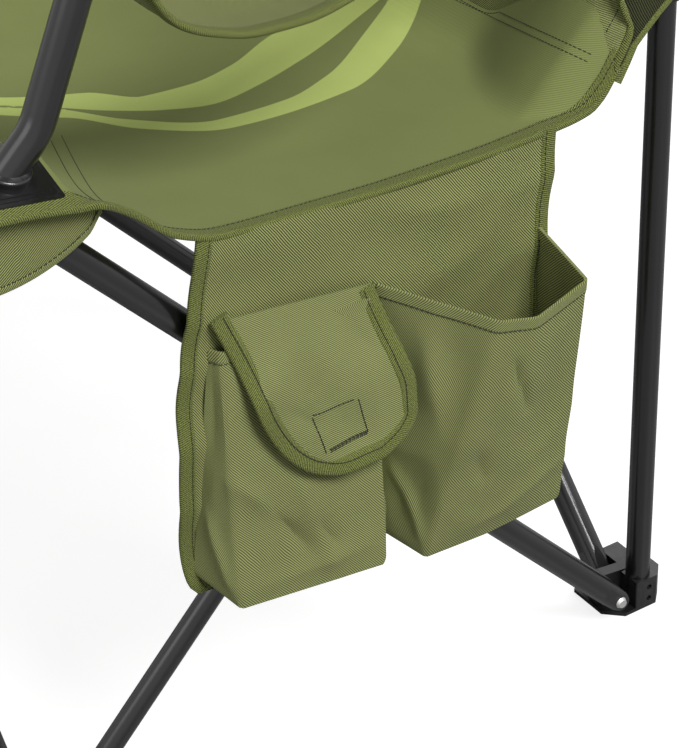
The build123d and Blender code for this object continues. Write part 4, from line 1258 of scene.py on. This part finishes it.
# ---- Armrests -----------------------------------------------------------------------------------
@dataclass(frozen=True)
class Armrest(SoftPiece):
    """A hanging band from the arm post's cap to a ring of webbing round the rear post.

    Its stations run from the front to the rear: setback, height, and the offsets of its outer and inner edge.
    """

    setbacks: Row = (-406, -395, -380, -372, -355, -330, -300, -270, -235, -190, -120, -60, -22)
    levels: Row = (665, 664, 650, 600, 573, 559, 551, 550, 556, 579, 632, 680, 712)
    outer: Row = (13, 12, 8, 4, 2, 1, 1, 1, 1, 1, 2, 4, 6)
    inner: Row = (-72, -74, -76, -78, -80, -80, -80, -80, -80, -78, -66, -44, -24)
    rows: int = 130
    columns: int = 25
    thickness: float = 2.2
    cup: float = 5.0
    rumple: Rumple = Rumple(1.1, 46.0, 8.0, (0.5, 1.0, 1.0))
    webbing: Row = (12.0, 5.0, 1.5)
    stitches: Pair = (10.5, 1.2)
    ring_radius: float = 11.0
    ring_levels: Pair = (703.0, 731.0)
    ring_thickness: float = 2.4
    rear_end: float = -20.0
    span: float = 374.0
    folded_length: float = 0.137
    flat: Pair = (85.0, 470.0)

    def surface(self) -> Array:
        """A grid of points over the band, in metres, from its inner to its outer edge."""
        known = arc_lengths(np.stack([self.setbacks, self.levels], axis=1))
        run = np.linspace(0, known[-1], self.rows)[:, None]
        tables = (self.setbacks, self.levels, self.inner, self.outer)
        setback, level, inner, outer = (smooth_curve(run, known, table) for table in tables)
        share = np.linspace(0, 1, self.columns)
        offset = inner + (outer - inner) * share
        cup = self.cup * np.sin(math.pi * share)[None, :] * np.sin(math.pi * np.clip(run / known[-1], 0, 1))
        points = np.stack([offset, np.repeat(setback, self.columns, axis=1), level - cup], axis=-1)
        points[..., 2] += self.rumple.at(points, self.side.value) * np.sin(math.pi * share)
        return self.place(points)

    def build(self) -> None:
        """Makes the band, its webbing, ring and stitches, and ties them to the frame."""
        hand = self.side.hand
        grid = self.surface()
        sheet = self.cloth(f"{hand}_arm_canvas", grid, self.thickness, self.finishes.canvas)
        names = [f"{hand}_arm_{edge}_webbing" for edge in ("inner", "outer")]
        trims, lines = self.bind_sides(names, grid, facing_normals(grid, 2), self.webbing, 1, self.stitches)
        t, z = np.meshgrid(np.linspace(0, 2 * math.pi, 37), np.linspace(*self.ring_levels, 6))
        ring = self.place(np.stack([self.ring_radius * np.cos(t), self.ring_radius * np.sin(t), z], axis=-1))
        loop = self.cloth(f"{hand}_arm_loop", ring, self.ring_thickness, self.finishes.webbing)
        trims.append(self.sew(f"{hand}_arm_stitches", lines))
        Sewn(sheet, trims, [(loop, self.side.post_body)]).finish(
            self.flat, "stretched", [f"{hand}_arm_cap", f"rear_{hand}_post"], [f"{hand}_armrest"], rule=self.rule()
        )

    def rule(self) -> FoldRule:
        """The band rides on its rear post, and its front end rises with the arm post."""
        rear = self.layout.rear

        def drawn(places: Array) -> Array:
            return (rear + self.rear_end - places[:, 1] / MM) / self.span

        anchor = (0, rear * MM, 0)
        return FoldRule(self.side.post_body, (0, 1, 0), anchor, self.folded_length, self.side.slider_body, drawn)


# ---- Corners ------------------------------------------------------------------------------------
@dataclass(frozen=True)
class CornerFlap(SoftPiece):
    """The half-moon of canvas that hangs round a front corner, hemmed along its curved edge."""

    offset: float = 30.0
    front: float = -507.0
    reach: float = 80.0
    lowest: float = 460.0
    rise: float = 26.0
    top: float = 518.0
    corner_radius: float = 12.0
    below_plate: float = 5.4
    below_cloth: float = 2.5
    least_drop: float = 1.5
    point_share: float = 0.88
    rumple: Rumple = Rumple(1.4, 38.0, 2.0)
    thickness: float = 1.5
    hem: float = 4.5
    hem_sizes: Pair = (3.0, 0.6)
    columns: int = 71
    rows: int = 21
    flat: Pair = (151.0, 58.0)
    area: float = 0.0066

    def plan(self) -> Array:
        """The flap's line seen from above, (offset, setback), round the corner."""
        corner = (self.offset, self.front)
        ends = (self.offset, self.front + self.reach), (self.offset - self.reach, self.front)
        return resample(rounded_path([ends[0], corner, ends[1]], [0, self.corner_radius, 0]), self.columns)[0]

    def surface(self, plan: Array) -> Array:
        """A grid of points over the flap, in metres, with a row for each point of its plan."""
        away = np.abs(np.linspace(-1, 1, self.columns))
        offset, setback = plan.T
        roof = self.form.roof(offset, setback, self.below_plate)
        under = self.form.height(offset, setback) - self.below_cloth
        under = np.where(setback > self.front + self.form.plate_half, under, self.top)
        high = np.minimum(np.minimum(self.top, roof), under)
        least = high - self.least_drop
        low = np.minimum(self.lowest + self.rise * away**2.4, least)
        low = low + (least - low) * np.clip((away - self.point_share) / (1 - self.point_share), 0, 1) ** 2
        share = np.linspace(0, 1, self.rows)
        heights = high[:, None] + (low - high)[:, None] * share
        points = np.stack([*(np.repeat(line[:, None], self.rows, 1) for line in plan.T), heights], axis=-1)
        flare = self.rumple.at(points) * share[None, :] ** 0.5
        points[..., 0] += flare * (np.abs(plan[:, :1] - self.offset) < self.corner_radius / 2)
        return self.place(points)

    def build(self) -> None:
        """Makes the flap, its hem and stitches, and ties them to the front corner."""
        hand, plan = self.side.hand, self.plan()
        grid = self.surface(plan)
        sheet = self.cloth(f"{hand}_corner_canvas", grid, self.thickness, self.finishes.canvas)
        normal = grid_normals(grid)[:, -1]
        outside = plan - (plan[:, 0].min() - 1, plan[:, 1].max() + 1)
        outward = np.stack([self.side.value * outside[:, 0], outside[:, 1], 0 * outside[:, 0]], axis=1)
        normal = normal * np.sign((normal * outward).sum(axis=1, keepdims=True))
        edge, inward = grid[:, -1], grid[:, -4] - grid[:, -1] + np.array([0, 0, 1e-5])
        hem = dress(band(f"{hand}_corner_hem", edge, inward, normal, self.hem, *self.hem_sizes), self.finishes.canvas)
        line = edge + unit(inward) * self.hem * MM + normal * 1.2 * MM
        thread = self.sew(f"{hand}_corner_stitches", [(line, normal)])
        Sewn(sheet, (hem, thread)).finish(
            self.flat, "hung", [f"front_{hand}_plate"], [f"front_{hand}_corner_flap"], body=f"front_{hand}_corner",
            area=self.area,
        )


@dataclass(frozen=True)
class RearGusset(SoftPiece):
    """The net gusset between the seat's rear corner, the backrest's edge and the rear post."""

    outer_edge: tuple[Point, ...] = (
        (21.0, -51.0, 451.0), (20.0, -43.0, 463.0), (19.0, -37.0, 472.5), (18.0, -27.0, 480.5),
        (17.0, -17.0, 488.0), (16.0, -7.0, 494.5), (15.0, 2.0, 502.0), (14.0, 9.0, 514.0),
    )
    inner_edge: tuple[Point, ...] = (
        (16.0, -51.0, 457.0), (15.0, -43.5, 468.0), (13.0, -38.0, 480.0), (10.0, -40.5, 487.0),
        (7.0, -41.0, 493.0), (3.0, -37.0, 499.0), (-3.0, -35.0, 510.0), (-8.0, -34.0, 522.0),
    )
    rows: int = 25
    columns: int = 13
    bulge: Pair = (3.5, -3.0)
    thickness: float = 1.2
    webbing: Row = (4.5, 3.0, 1.0)
    flat: Pair = (24.0, 88.0)
    area: float = 0.0017

    def build(self) -> None:
        """Makes the net and the webbing along its outer edge, and ties them to the slider."""
        hand = self.side.hand
        outer, inner = (resample(np.array(e), self.rows)[0] for e in (self.outer_edge, self.inner_edge))
        share = np.linspace(0, 1, self.columns)[None, :, None]
        points = outer[:, None] * (1 - share) + inner[:, None] * share
        swell = np.sin(math.pi * share[..., 0])
        points[..., 0] += self.bulge[0] * swell * np.linspace(0, 1, self.rows)[:, None]
        points[..., 1] += self.bulge[1] * swell
        grid = self.place(points)
        sheet = self.cloth(f"{hand}_gusset_net", grid, self.thickness, self.finishes.net)
        normal, inward = facing_normals(grid, 0, self.side.value)[:, 0], grid[:, 1] - grid[:, 0]
        webbing = self.bind(f"{hand}_gusset_webbing", grid[:, 0], inward, normal, *self.webbing)
        Sewn(sheet, (webbing,)).finish(
            self.flat, "stretched", [f"rear_{hand}_slider"], body=self.side.slider_body, area=self.area
        )


# ---- Organiser ----------------------------------------------------------------------------------
def read_edge(heights: Array, edge: Array) -> Array:
    """Setbacks of an edge, given as (setback, height) points in any order, at each height."""
    order = np.argsort(edge[:, 1], kind="stable")
    return np.interp(heights, edge[order, 1], edge[order, 0])


@dataclass(frozen=True)
class Panel(SoftPiece):
    """The organiser's backing panel, hung from the seat's left edge. Its corners are (setback, height).

    foot gives the ends of its lower edge, with its front edge before them and its rear edge behind. Its folds
    grow from held_share of their height at held_over to all of it, held_reach below.
    """

    corners: tuple[Pair, ...] = (
        (-363, 447), (-103, 452), (-111, 368), (-117, 190), (-238, 188), (-385, 195), (-391, 228), (-384, 340)
    )
    radii: Row = (0, 0, 30, 10, 30, 14, 30, 40)
    foot: Pair = (-240.0, -200.0)
    offset: float = 23.6
    top: float = 445.0
    bottom: float = 189.0
    over_edge: float = 0.8
    rear_rise: float = 1.7
    rear_rise_from: float = -170.0
    rear_rise_length: float = 66.0
    rows: int = 60
    columns: int = 56
    thickness: float = 1.8
    rumples: tuple[Rumple, ...] = (Rumple(2.4, 80.0, 11.0), Rumple(2.2, 55.0, 5.0, (1, 0.6, 1.0), creased=True))
    held_over: float = 450.0
    held_reach: float = 40.0
    held_share: float = 0.1
    webbing: Row = (10.5, 3.6)
    stitches: Pair = (7.5, 1.9)
    flat: Pair = (285.0, 256.0)
    area: float = 0.0655

    def bulge(self, points: Array) -> Array:
        """How far the panel stands out of its plane, for points (offset, setback, height)."""
        free = np.clip((self.held_over - points[..., 2]) / self.held_reach, self.held_share, 1)
        return sum(rumple.at(points) for rumple in self.rumples) * free

    def surface(self) -> Array:
        """A grid of points over the panel, in metres, from the top down and from its front to its rear edge."""
        outline = rounded_path(self.corners, self.radii, closed=True)
        rows = np.linspace(self.top, self.bottom, self.rows)[:, None]
        front = read_edge(rows, outline[outline[:, 0] < self.foot[0]])
        rear = read_edge(rows, outline[outline[:, 0] > self.foot[1]])
        setback = front + (rear - front) * np.linspace(0, 1, self.columns)
        rise = self.rear_rise * np.clip((setback - self.rear_rise_from) / self.rear_rise_length, 0, 1)
        top = self.form.edge(setback)[1] + self.over_edge + rise
        height = self.bottom + (top - self.bottom) * (rows - self.bottom) / (self.top - self.bottom)
        points = np.stack([np.full_like(setback, self.offset), setback, height], axis=-1)
        points[..., 0] += self.bulge(points)
        return self.place(points)

    def build(self) -> None:
        """Makes the panel, its webbing and stitches, and ties them to the left slider."""
        grid = self.surface()
        sheet = self.cloth("organiser_canvas", grid, self.thickness, self.finishes.canvas)
        names = "organiser_front_webbing", "organiser_rear_webbing"
        trims, lines = self.bind_sides(names, grid, facing_normals(grid, 0), self.webbing, 2, self.stitches)
        trims.append(self.sew("organiser_stitches", lines))
        Sewn(sheet, trims).finish(
            self.flat, "hung", ["seat_canvas"], ["organiser_panel"], body=self.side.slider_body, area=self.area
        )


@dataclass(frozen=True)
class Fold:
    """A ridge in a pocket's wall, or a crease where its height is negative.

    Its ends are shares of the way across the wall and down it. Width and height are millimetres.
    """

    start: Pair
    end: Pair
    width: float
    height: float

    def push(self, across: Array, fall: Array, size: Pair) -> Array:
        """How far the fold moves each point of a wall of the given width and depth."""
        start, end = np.array(self.start) * size, np.array(self.end) * size
        points = np.stack(np.broadcast_arrays(across, fall), axis=-1) * size
        run = end - start
        t = np.clip(((points - start) @ run) / (run @ run), 0, 1)
        away = np.linalg.norm(points - start - t[..., None] * run, axis=-1)
        return self.height * np.exp(-np.abs(away / self.width) ** 1.4) * (0.35 + 0.65 * np.sin(math.pi * t) ** 0.6)


def folded(rows: Iterable[tuple[float, ...]]) -> tuple[Fold, ...]:
    """Folds from rows of start across and down, end across and down, width and height."""
    return tuple(Fold(row[:2], row[2:4], *row[4:]) for row in rows)


@dataclass(frozen=True)
class PocketForm:
    """A pocket's shape: the corners of its rim and floor, (offset, setback, height), from front to rear.

    spans are the numbers of columns between the corners; rim_round and floor_round are how far from each corner
    its rounding starts. name is also its CAD node.
    """

    name: str
    rim: tuple[Point, ...]
    floor: tuple[Point, ...]
    spans: tuple[int, ...]
    rim_round: Row
    floor_round: Row
    rough: float
    seed: float
    flat: Pair
    folds: tuple[Fold, ...]
    sag: float = 0.8


def cornered(corners: Sequence[Point], spans: Sequence[int], rounds: Sequence[float]) -> Array:
    """Points along straight runs between corners, each run stopping short of its corners.

    Args:
        corners: The corners.
        spans: How many points each run gets.
        rounds: How far from each corner its neighbouring runs stop.

    Returns:
        The points.
    """
    runs = []
    for k, count in enumerate(spans):
        start, end = (np.array(corners[i], float) for i in (k, k + 1))
        length = np.linalg.norm(end - start)
        t = np.linspace(rounds[k] / length, 1 - rounds[k + 1] / length, count)[:, None]
        runs.append(start + (end - start) * t)
    return np.concatenate(runs)


@dataclass(frozen=True)
class Pocket(SoftPiece):
    """A sewn pocket: front, outer face and rear side in one wall with crisp corners, a floor and a hemmed rim.

    Its folds grow away from the corners, sides, floor and rim. The rises say how steeply, for a step of the whole
    wall, and the leasts say how much of them is left at a corner, at the floor and at the rim.
    """

    shape: PocketForm = field(kw_only=True)
    rumples: tuple[Rumple, ...] = (
        Rumple(0.75, 52.0, 0.0, (1, 1, 0.75)), Rumple(0.5, 40.0, 3.0, (1, 0.8, 0.55), creased=True)
    )
    rises: tuple[float, float, float, float] = (9.0, 14.0, 12.0, 6.0)
    leasts: Point = (0.3, 0.1, 0.12)
    floor_turn: Pair = (0.025, 0.02)
    thickness: float = 1.4
    hem_depth: float = 8.0
    hem_thickness: float = 0.7
    hem_lift: float = 0.9
    rows: int = 80
    sharp: float = 28.0

    @property
    def columns(self) -> int:
        """Columns of points round the wall."""
        return sum(self.shape.spans)

    def wall(self) -> Array:
        """The wall's points, (offset, setback, height), from the rim down, then in over the floor."""
        shape = self.shape
        rim = cornered(shape.rim, shape.spans, shape.rim_round)
        floor = cornered(shape.floor, shape.spans, shape.floor_round)
        fall = np.linspace(0, 1, self.rows)[:, None]
        points = rim[None] + (floor - rim)[None] * fall[..., None]
        turn, pull = self.floor_turn
        round_in = np.clip((fall - (1 - turn)) / turn, 0, 1)[..., None] ** 2
        middle = points[:, :, :2].mean(axis=1, keepdims=True)
        points[..., :2] += (middle - points[..., :2]) * round_in * pull
        across = np.linspace(0, 1, self.columns)[None]
        outward = unit(np.cross(np.gradient(points, axis=1), np.gradient(points, axis=0)))
        if outward[self.rows // 2, self.columns // 2, 0] < 0:
            outward = -outward
        corners = np.cumsum((0, *shape.spans)) / self.columns
        near = np.abs(across[..., None] - corners).min(axis=-1)
        (at_corner, at_side, at_floor, at_rim), (corner_least, floor_least, rim_least) = self.rises, self.leasts
        free = corner_least + (1 - corner_least) * np.clip(near * at_corner, 0, 1)
        held = np.clip(np.minimum(across, 1 - across) * at_side, 0, 1) * np.clip((1 - fall) * at_floor, floor_least, 1)
        rough = shape.rough * sum(rumple.at(points, shape.seed) for rumple in self.rumples)
        push = shape.sag * (np.sin(math.pi * across) * np.sin(math.pi * fall))
        push = push + rough * free * held * np.clip(fall * at_rim, rim_least, 1)
        for fold in shape.folds:
            push = push + fold.push(across, fall, shape.flat) * held
        return points + outward * push[..., None]

    def build(self) -> None:
        """Makes the pocket and its stitches, and ties them to the left slider."""
        shape, wall = self.shape, self.wall()
        base = wall[-1]
        backing = np.stack([np.full(len(base), base[0, 0]), base[:, 1], base[:, 2] - 0.4], axis=1)
        floor = [base + (backing - base) * t for t in (0.04, 0.25, 0.5, 0.75, 1.0)]
        grid = self.place(np.concatenate([wall, np.stack(floor)]))
        sheet = self.cloth(f"{shape.name}_canvas", grid, self.thickness, self.finishes.pocket, self.sharp)
        normals = grid_normals(grid)
        normals = normals * np.sign(normals[self.rows // 2, self.columns // 2, 0])
        lift = normals[0] * self.hem_lift * MM
        down = [grid[0] + (grid[3] - grid[0]) * t for t in np.linspace(0, 1, 8)]
        folded_over = np.stack([row + lift for row in down][::-1] + [row - lift for row in down])
        hem = self.cloth(f"{shape.name}_hem", folded_over, self.hem_thickness, self.finishes.pocket)
        rise = normals[0] * (self.thickness / 2 + 0.1) * MM
        line = grid[0] + unit(grid[4] - grid[0]) * self.hem_depth * MM + rise
        thread = self.sew(f"{shape.name}_stitches", [(line, normals[0])])
        Sewn(sheet, (hem, thread)).finish(
            shape.flat, "hung", ["organiser_canvas"], [shape.name], body="rear_left_slider_body"
        )


@dataclass(frozen=True)
class PocketCover(SoftPiece):
    """The tongue-shaped flap over the front pocket, bound with webbing and closed by a sewn patch.

    Its outline and patch are (setback, height). hinge is (offset, height), and rear_drop is how much lower the
    hinge's rear end lies.
    """

    outline: tuple[Pair, ...] = (
        (-361, 391), (-349, 357), (-340, 321), (-325, 291), (-307, 275), (-286, 268), (-264, 268), (-241, 276),
        (-230, 291), (-230, 307), (-236, 337), (-245, 379), (-247, 391),
    )
    hinge: Pair = (27.6, 388.0)
    stand_off: float = 1.6
    lean: float = 0.2071
    crown: float = 3.2
    rear_drop: float = 13.0
    front: float = -361.0
    size: Pair = (114.0, 120.0)
    spread: float = 131.0
    rumples: tuple[Rumple, ...] = (Rumple(1.6, 34.0, 21.0), Rumple(1.2, 42.0, 9.0, (1, 1.0, 0.5), creased=True))
    folds: tuple[Fold, ...] = folded((
        (0.66, 0.1, 0.82, 0.4, 7.0, -2.6), (0.45, 0.16, 0.6, 0.5, 12.0, 2.0), (0.3, 0.55, 0.46, 0.7, 6.0, -2.2),
        (0.2, 0.2, 0.3, 0.5, 9.0, 1.6), (0.55, 0.6, 0.62, 0.82, 8.0, -1.4),
    ))
    straight: Pair = (391.0, 300.0)
    tongue: float = 31.5
    centre: Pair = (-292.0, 338.0)
    face: float = 0.2
    patch: tuple[Pair, ...] = ((-306, 314), (-273, 315), (-267, 287), (-300, 286))
    patch_repeats: tuple[Pair, ...] = ((0.5, 1.1), (-0.3, 2.0))
    columns: int = 41
    thickness: float = 1.8
    webbing: Row = (11.5, 3.8)
    stitches: Pair = (7.5, 2.0)
    stitching: Stitching = Stitching(pitch=3.0, radius=0.38)
    flat: Pair = (128.0, 126.0)
    area: float = 0.0128

    def stand(self, setback: Array, height: Array) -> Array:
        """Points of the cover's middle surface in metres, from its setbacks and heights."""
        width, depth = self.size
        below = self.hinge[1] - height
        fall = np.clip(below / depth, 0, 1.1)
        offset = self.hinge[0] + self.stand_off + below * self.lean
        offset = offset + self.crown * np.sin(math.pi * np.clip(fall, 0, 1)) ** 1.5
        drop = self.rear_drop * np.clip((setback - self.front) / width, 0, 1) * (1 - np.clip(fall * 1.6, 0, 1))
        points = np.stack([offset, setback, height - drop], axis=-1)
        folds = sum(rumple.at(points) for rumple in self.rumples)
        for fold in self.folds:
            folds = folds + fold.push((setback - self.front) / self.spread, below / depth, self.size)
        points[..., 0] += folds * np.clip(fall * 3, 0, 1)
        return self.place(points)

    def build(self) -> None:
        """Makes the cover, its webbing and stitches, and ties them to its hinge."""
        outline = np.array(self.outline, float)
        lowest = outline[:, 1].argmin() + 1
        top, turn = self.straight
        curve = turn - self.tongue * np.sin(np.linspace(0.04, 1, 26) * math.pi / 2)
        rows = np.concatenate([np.linspace(top, turn, 32), curve])[:, None]
        front, rear = (read_edge(rows, edge) for edge in (outline[:lowest], outline[lowest:]))
        setback = front + (rear - front) * np.linspace(0, 1, self.columns)
        grid = self.stand(setback, np.repeat(rows, self.columns, 1))
        sheet = self.cloth("pocket_cover_canvas", grid, self.thickness, self.finishes.pocket)
        rim = self.stand(*resample(smooth_outline(outline), 120)[0].T)
        middle = self.stand(*(np.array([place]) for place in self.centre))[0]
        normal = unit(np.tile([math.cos(self.face), 0.0, math.sin(self.face)], (len(rim), 1)))
        inward = unit(np.cross(normal, np.gradient(rim, axis=0)))
        inward = inward * np.sign((inward * (middle - rim)).sum(axis=1, keepdims=True))
        webbing = self.bind("pocket_cover_webbing", rim, inward, normal, *self.webbing)
        inset, rise = self.stitches
        lines = [(rim + inward * inset * MM + normal * rise * MM, normal)]
        square = np.array(self.patch, float)
        sides = list(zip(square, np.roll(square, -1, axis=0)))
        sides += [(square[2] + shift, square[3] + shift) for shift in np.array(self.patch_repeats)]
        for a, b in sides:
            path = self.stand(*(a + (b - a) * np.linspace(0, 1, 12)[:, None]).T)
            lines.append((path + normal[:1] * (self.thickness / 2 + 0.15) * MM, np.repeat(normal[:1], 12, 0)))
        thread = self.sew("pocket_cover_stitches", lines, self.stitching)
        Sewn(sheet, (webbing, thread)).finish(
            self.flat, "hung", ["organiser_canvas"], ["pocket_flap"], body="pocket_flap_body", area=self.area
        )


def smooth_outline(outline: Array) -> Array:
    """A rounder path through an outline's points."""
    run = arc_lengths(outline)
    fine = np.linspace(0, run[-1], 200)
    return np.stack([smooth_curve(fine, run, outline[:, k]) for k in (0, 1)], axis=1)


POCKETS = (
    PocketForm(
        name="flap_pocket",
        rim=((24.8, -362.0, 371.0), (31.5, -357.5, 370.5), (31.5, -250.5, 370.5), (24.8, -246.0, 371.0)),
        floor=((24.8, -383.0, 213.0), (53.0, -367.0, 196.0), (55.0, -259.0, 185.0), (24.8, -243.0, 208.0)),
        spans=(20, 62, 20), rim_round=(0, 1.5, 1.5, 0), floor_round=(0, 1.5, 1.5, 0),
        rough=2.4, seed=31.0, flat=(172, 178),
        folds=folded((
            (0.2, 0.5, 0.42, 0.72, 6.5, 4.6), (0.32, 0.6, 0.48, 0.84, 5.0, -4.2), (0.45, 0.56, 0.58, 0.96, 9.0, 4.0),
            (0.05, 0.68, 0.18, 0.98, 6.0, 3.2), (0.52, 0.74, 0.6, 0.86, 3.6, -2.8), (0.24, 0.95, 0.74, 0.9, 8.0, 2.4),
        )),
    ),
    PocketForm(
        name="open_pocket",
        rim=(
            (24.8, -241.0, 373.0), (75.0, -184.0, 350.0), (80.0, -158.0, 346.0), (74.0, -115.5, 355.0),
            (24.8, -117.0, 372.0),
        ),
        floor=(
            (24.8, -240.0, 183.0), (54.0, -228.0, 175.0), (56.0, -180.0, 175.0), (54.5, -118.0, 178.0),
            (24.8, -116.0, 182.0),
        ),
        spans=(34, 18, 28, 24), rim_round=(0, 2.0, 2.0, 1.5, 0), floor_round=(0, 1.5, 2.0, 1.5, 0),
        rough=2.8, seed=47.0, flat=(185, 212),
        folds=folded((
            (0.45, 0.18, 0.56, 0.46, 3.4, -3.6), (0.4, 0.58, 0.45, 0.72, 4.5, -3.0), (0.04, 0.7, 0.3, 0.96, 7.0, 3.4),
            (0.34, 0.12, 0.36, 0.6, 9.0, 3.0), (0.12, 0.1, 0.2, 0.4, 9.0, 3.0), (0.45, 0.92, 0.75, 0.8, 8.0, 2.6),
            (0.85, 0.1, 0.95, 0.5, 9.0, 2.4),
        )),
    ),
)


# ---- Frame and stage ----------------------------------------------------------------------------
@dataclass(frozen=True)
class HardParts:
    """The tubes, fittings and rivets that come from the CAD model."""

    finishes: Finishes
    tubes: tuple[str, ...] = ("_post", "_leg", "_leg_from_left", "_leg_from_right")
    sharp: float = 32.0

    def finish(self, name: str) -> Material:
        """The finish of one CAD node."""
        if "rivet" in name:
            return self.finishes.steel
        if name.endswith(self.tubes):
            return self.finishes.coated
        return self.finishes.polished if name.endswith("_plate") else self.finishes.moulded

    def build(self) -> None:
        """Gives each shown CAD node its finish."""
        for name, obj in sorted(frame["nodes"].items()):
            dress(obj, self.finish(name))
            obj.data.shade_smooth()
            obj.data.set_sharp_from_angle(angle=math.radians(self.sharp))
        log.info("%d frame pieces dressed", len(frame["nodes"]))


@dataclass(frozen=True)
class Lamp:
    """A soft square lamp: where it stands and points in metres, its side in metres and its power in watts."""

    name: str
    place: Point
    target: Point
    size: float
    power: float

    def build(self) -> None:
        """Adds the lamp."""
        data = bpy.data.lights.new(self.name, "AREA")
        data.shape, data.size, data.energy = "SQUARE", self.size, self.power
        lamp = bpy.data.objects.new(self.name, data)
        lamp.location = self.place
        lamp.rotation_euler = (Vector(self.target) - Vector(self.place)).to_track_quat("-Z", "Y").to_euler()
        bpy.context.scene.collection.objects.link(lamp)


@dataclass(frozen=True)
class Studio:
    """A pale floor, soft light and the camera, whose eye is a local point of the left side."""

    layout: Layout
    eye: Point = (1154.47, -991.31, 1197.65)
    turns: Point = (57.449, 33.269, -1.918)
    focal_share: float = 2583.08 / 748.0
    sensor: float = 36.0
    floor_reach: float = 9.0
    floor_height: float = -0.0004
    floor_glow: float = 0.83
    reflected_glow: float = 0.8
    ambient: float = 0.17
    lamps: tuple[Lamp, ...] = (
        Lamp("key", (3.9, 0.9, 4.4), (0.1, -0.1, 0.4), 2.3, 300.0),
        Lamp("front", (0.6, -2.4, 2.2), (0.0, 0.0, 0.4), 1.6, 14.0),
        Lamp("back", (-1.4, 2.0, 2.4), (0.0, 0.0, 0.5), 1.6, 12.0),
    )

    def camera(self) -> None:
        """Adds the camera."""
        yaw, pitch, roll = (math.radians(a) for a in self.turns)
        ahead = Vector((-math.sin(yaw) * math.cos(pitch), math.cos(yaw) * math.cos(pitch), -math.sin(pitch)))
        level = ahead.cross(Vector((0, 0, 1))).normalized()
        above = level.cross(ahead)
        right = level * math.cos(roll) + above * math.sin(roll)
        up = above * math.cos(roll) - level * math.sin(roll)
        data = bpy.data.cameras.new("camera")
        data.sensor_width = self.sensor
        data.lens = self.focal_share * self.sensor
        data.clip_end = 50.0
        camera = bpy.data.objects.new("camera", data)
        place = self.layout.place(Side.LEFT, np.array(self.eye))
        turn = Matrix((right, up, -ahead)).transposed().to_4x4()
        camera.matrix_world = Matrix.Translation(Vector(place)) @ turn
        bpy.context.scene.collection.objects.link(camera)
        bpy.context.scene.camera = camera

    @staticmethod
    def seen(tree: Tree) -> tuple[Socket, Socket]:
        """1 where the camera sees a surface, itself or through another, and whether the ray is a reflection."""
        rays = tree.add("ShaderNodeLightPath").outputs
        return tree.math("MAXIMUM", rays["Is Camera Ray"], rays["Is Transmission Ray"]), rays["Is Glossy Ray"]

    def floor(self) -> None:
        """Adds the floor."""
        reach = self.floor_reach
        corners = [(x * reach, y * reach, self.floor_height) for x, y in ((-1, -1), (1, -1), (1, 1), (-1, 1))]
        obj = mesh_object("studio_floor", np.array(corners), [(0, 1, 2, 3)])
        material, tree, shader = start_material("Studio floor")
        tree.fill(shader, {
            "Base Color": (0.35, 0.35, 0.35, 1.0), "Roughness": 0.35, "Specular IOR Level": 0.3,
            "Emission Color": WHITE, "Emission Strength": tree.math("MULTIPLY", self.seen(tree)[0], self.floor_glow),
        })
        dress(obj, material)

    def world(self) -> None:
        """Adds the pale surroundings."""
        world = bpy.data.worlds.new("surroundings")
        world.use_nodes = True
        world.node_tree.nodes.clear()
        tree = Tree(world.node_tree)
        seen, mirrored = self.seen(tree)
        strength = tree.math("MAXIMUM", seen, tree.math("MULTIPLY", mirrored, self.reflected_glow))
        strength = tree.math("MAXIMUM", strength, self.ambient)
        lit = tree.add("ShaderNodeBackground", WHITE, strength)
        tree.fill(tree.add("ShaderNodeOutputWorld"), {"Surface": lit.outputs[0]})
        bpy.context.scene.world = world

    def build(self) -> None:
        """Adds everything round the chair."""
        bpy.context.scene.view_settings.view_transform = "Standard"
        self.floor()
        self.world()
        for lamp in self.lamps:
            lamp.build()
        self.camera()
        log.info("studio ready")


def main() -> None:
    """Builds the chair's looks in order."""
    logging.basicConfig(level=logging.INFO, format="%(name)s: %(message)s")
    layout, finishes, form = Layout.from_frame(), Finishes(), SeatForm()
    common = (layout, finishes, form)
    HardParts(finishes).build()
    pieces = [Seat(*common), Backrest(*common)]
    pieces += [kind(*common, side) for side in Side for kind in (Armrest, CornerFlap, RearGusset)]
    pieces += [Panel(*common), *(Pocket(*common, shape=shape) for shape in POCKETS), PocketCover(*common)]
    for piece in pieces:
        piece.build()
    Studio(layout).build()


if __name__ == "__main__":
    main()
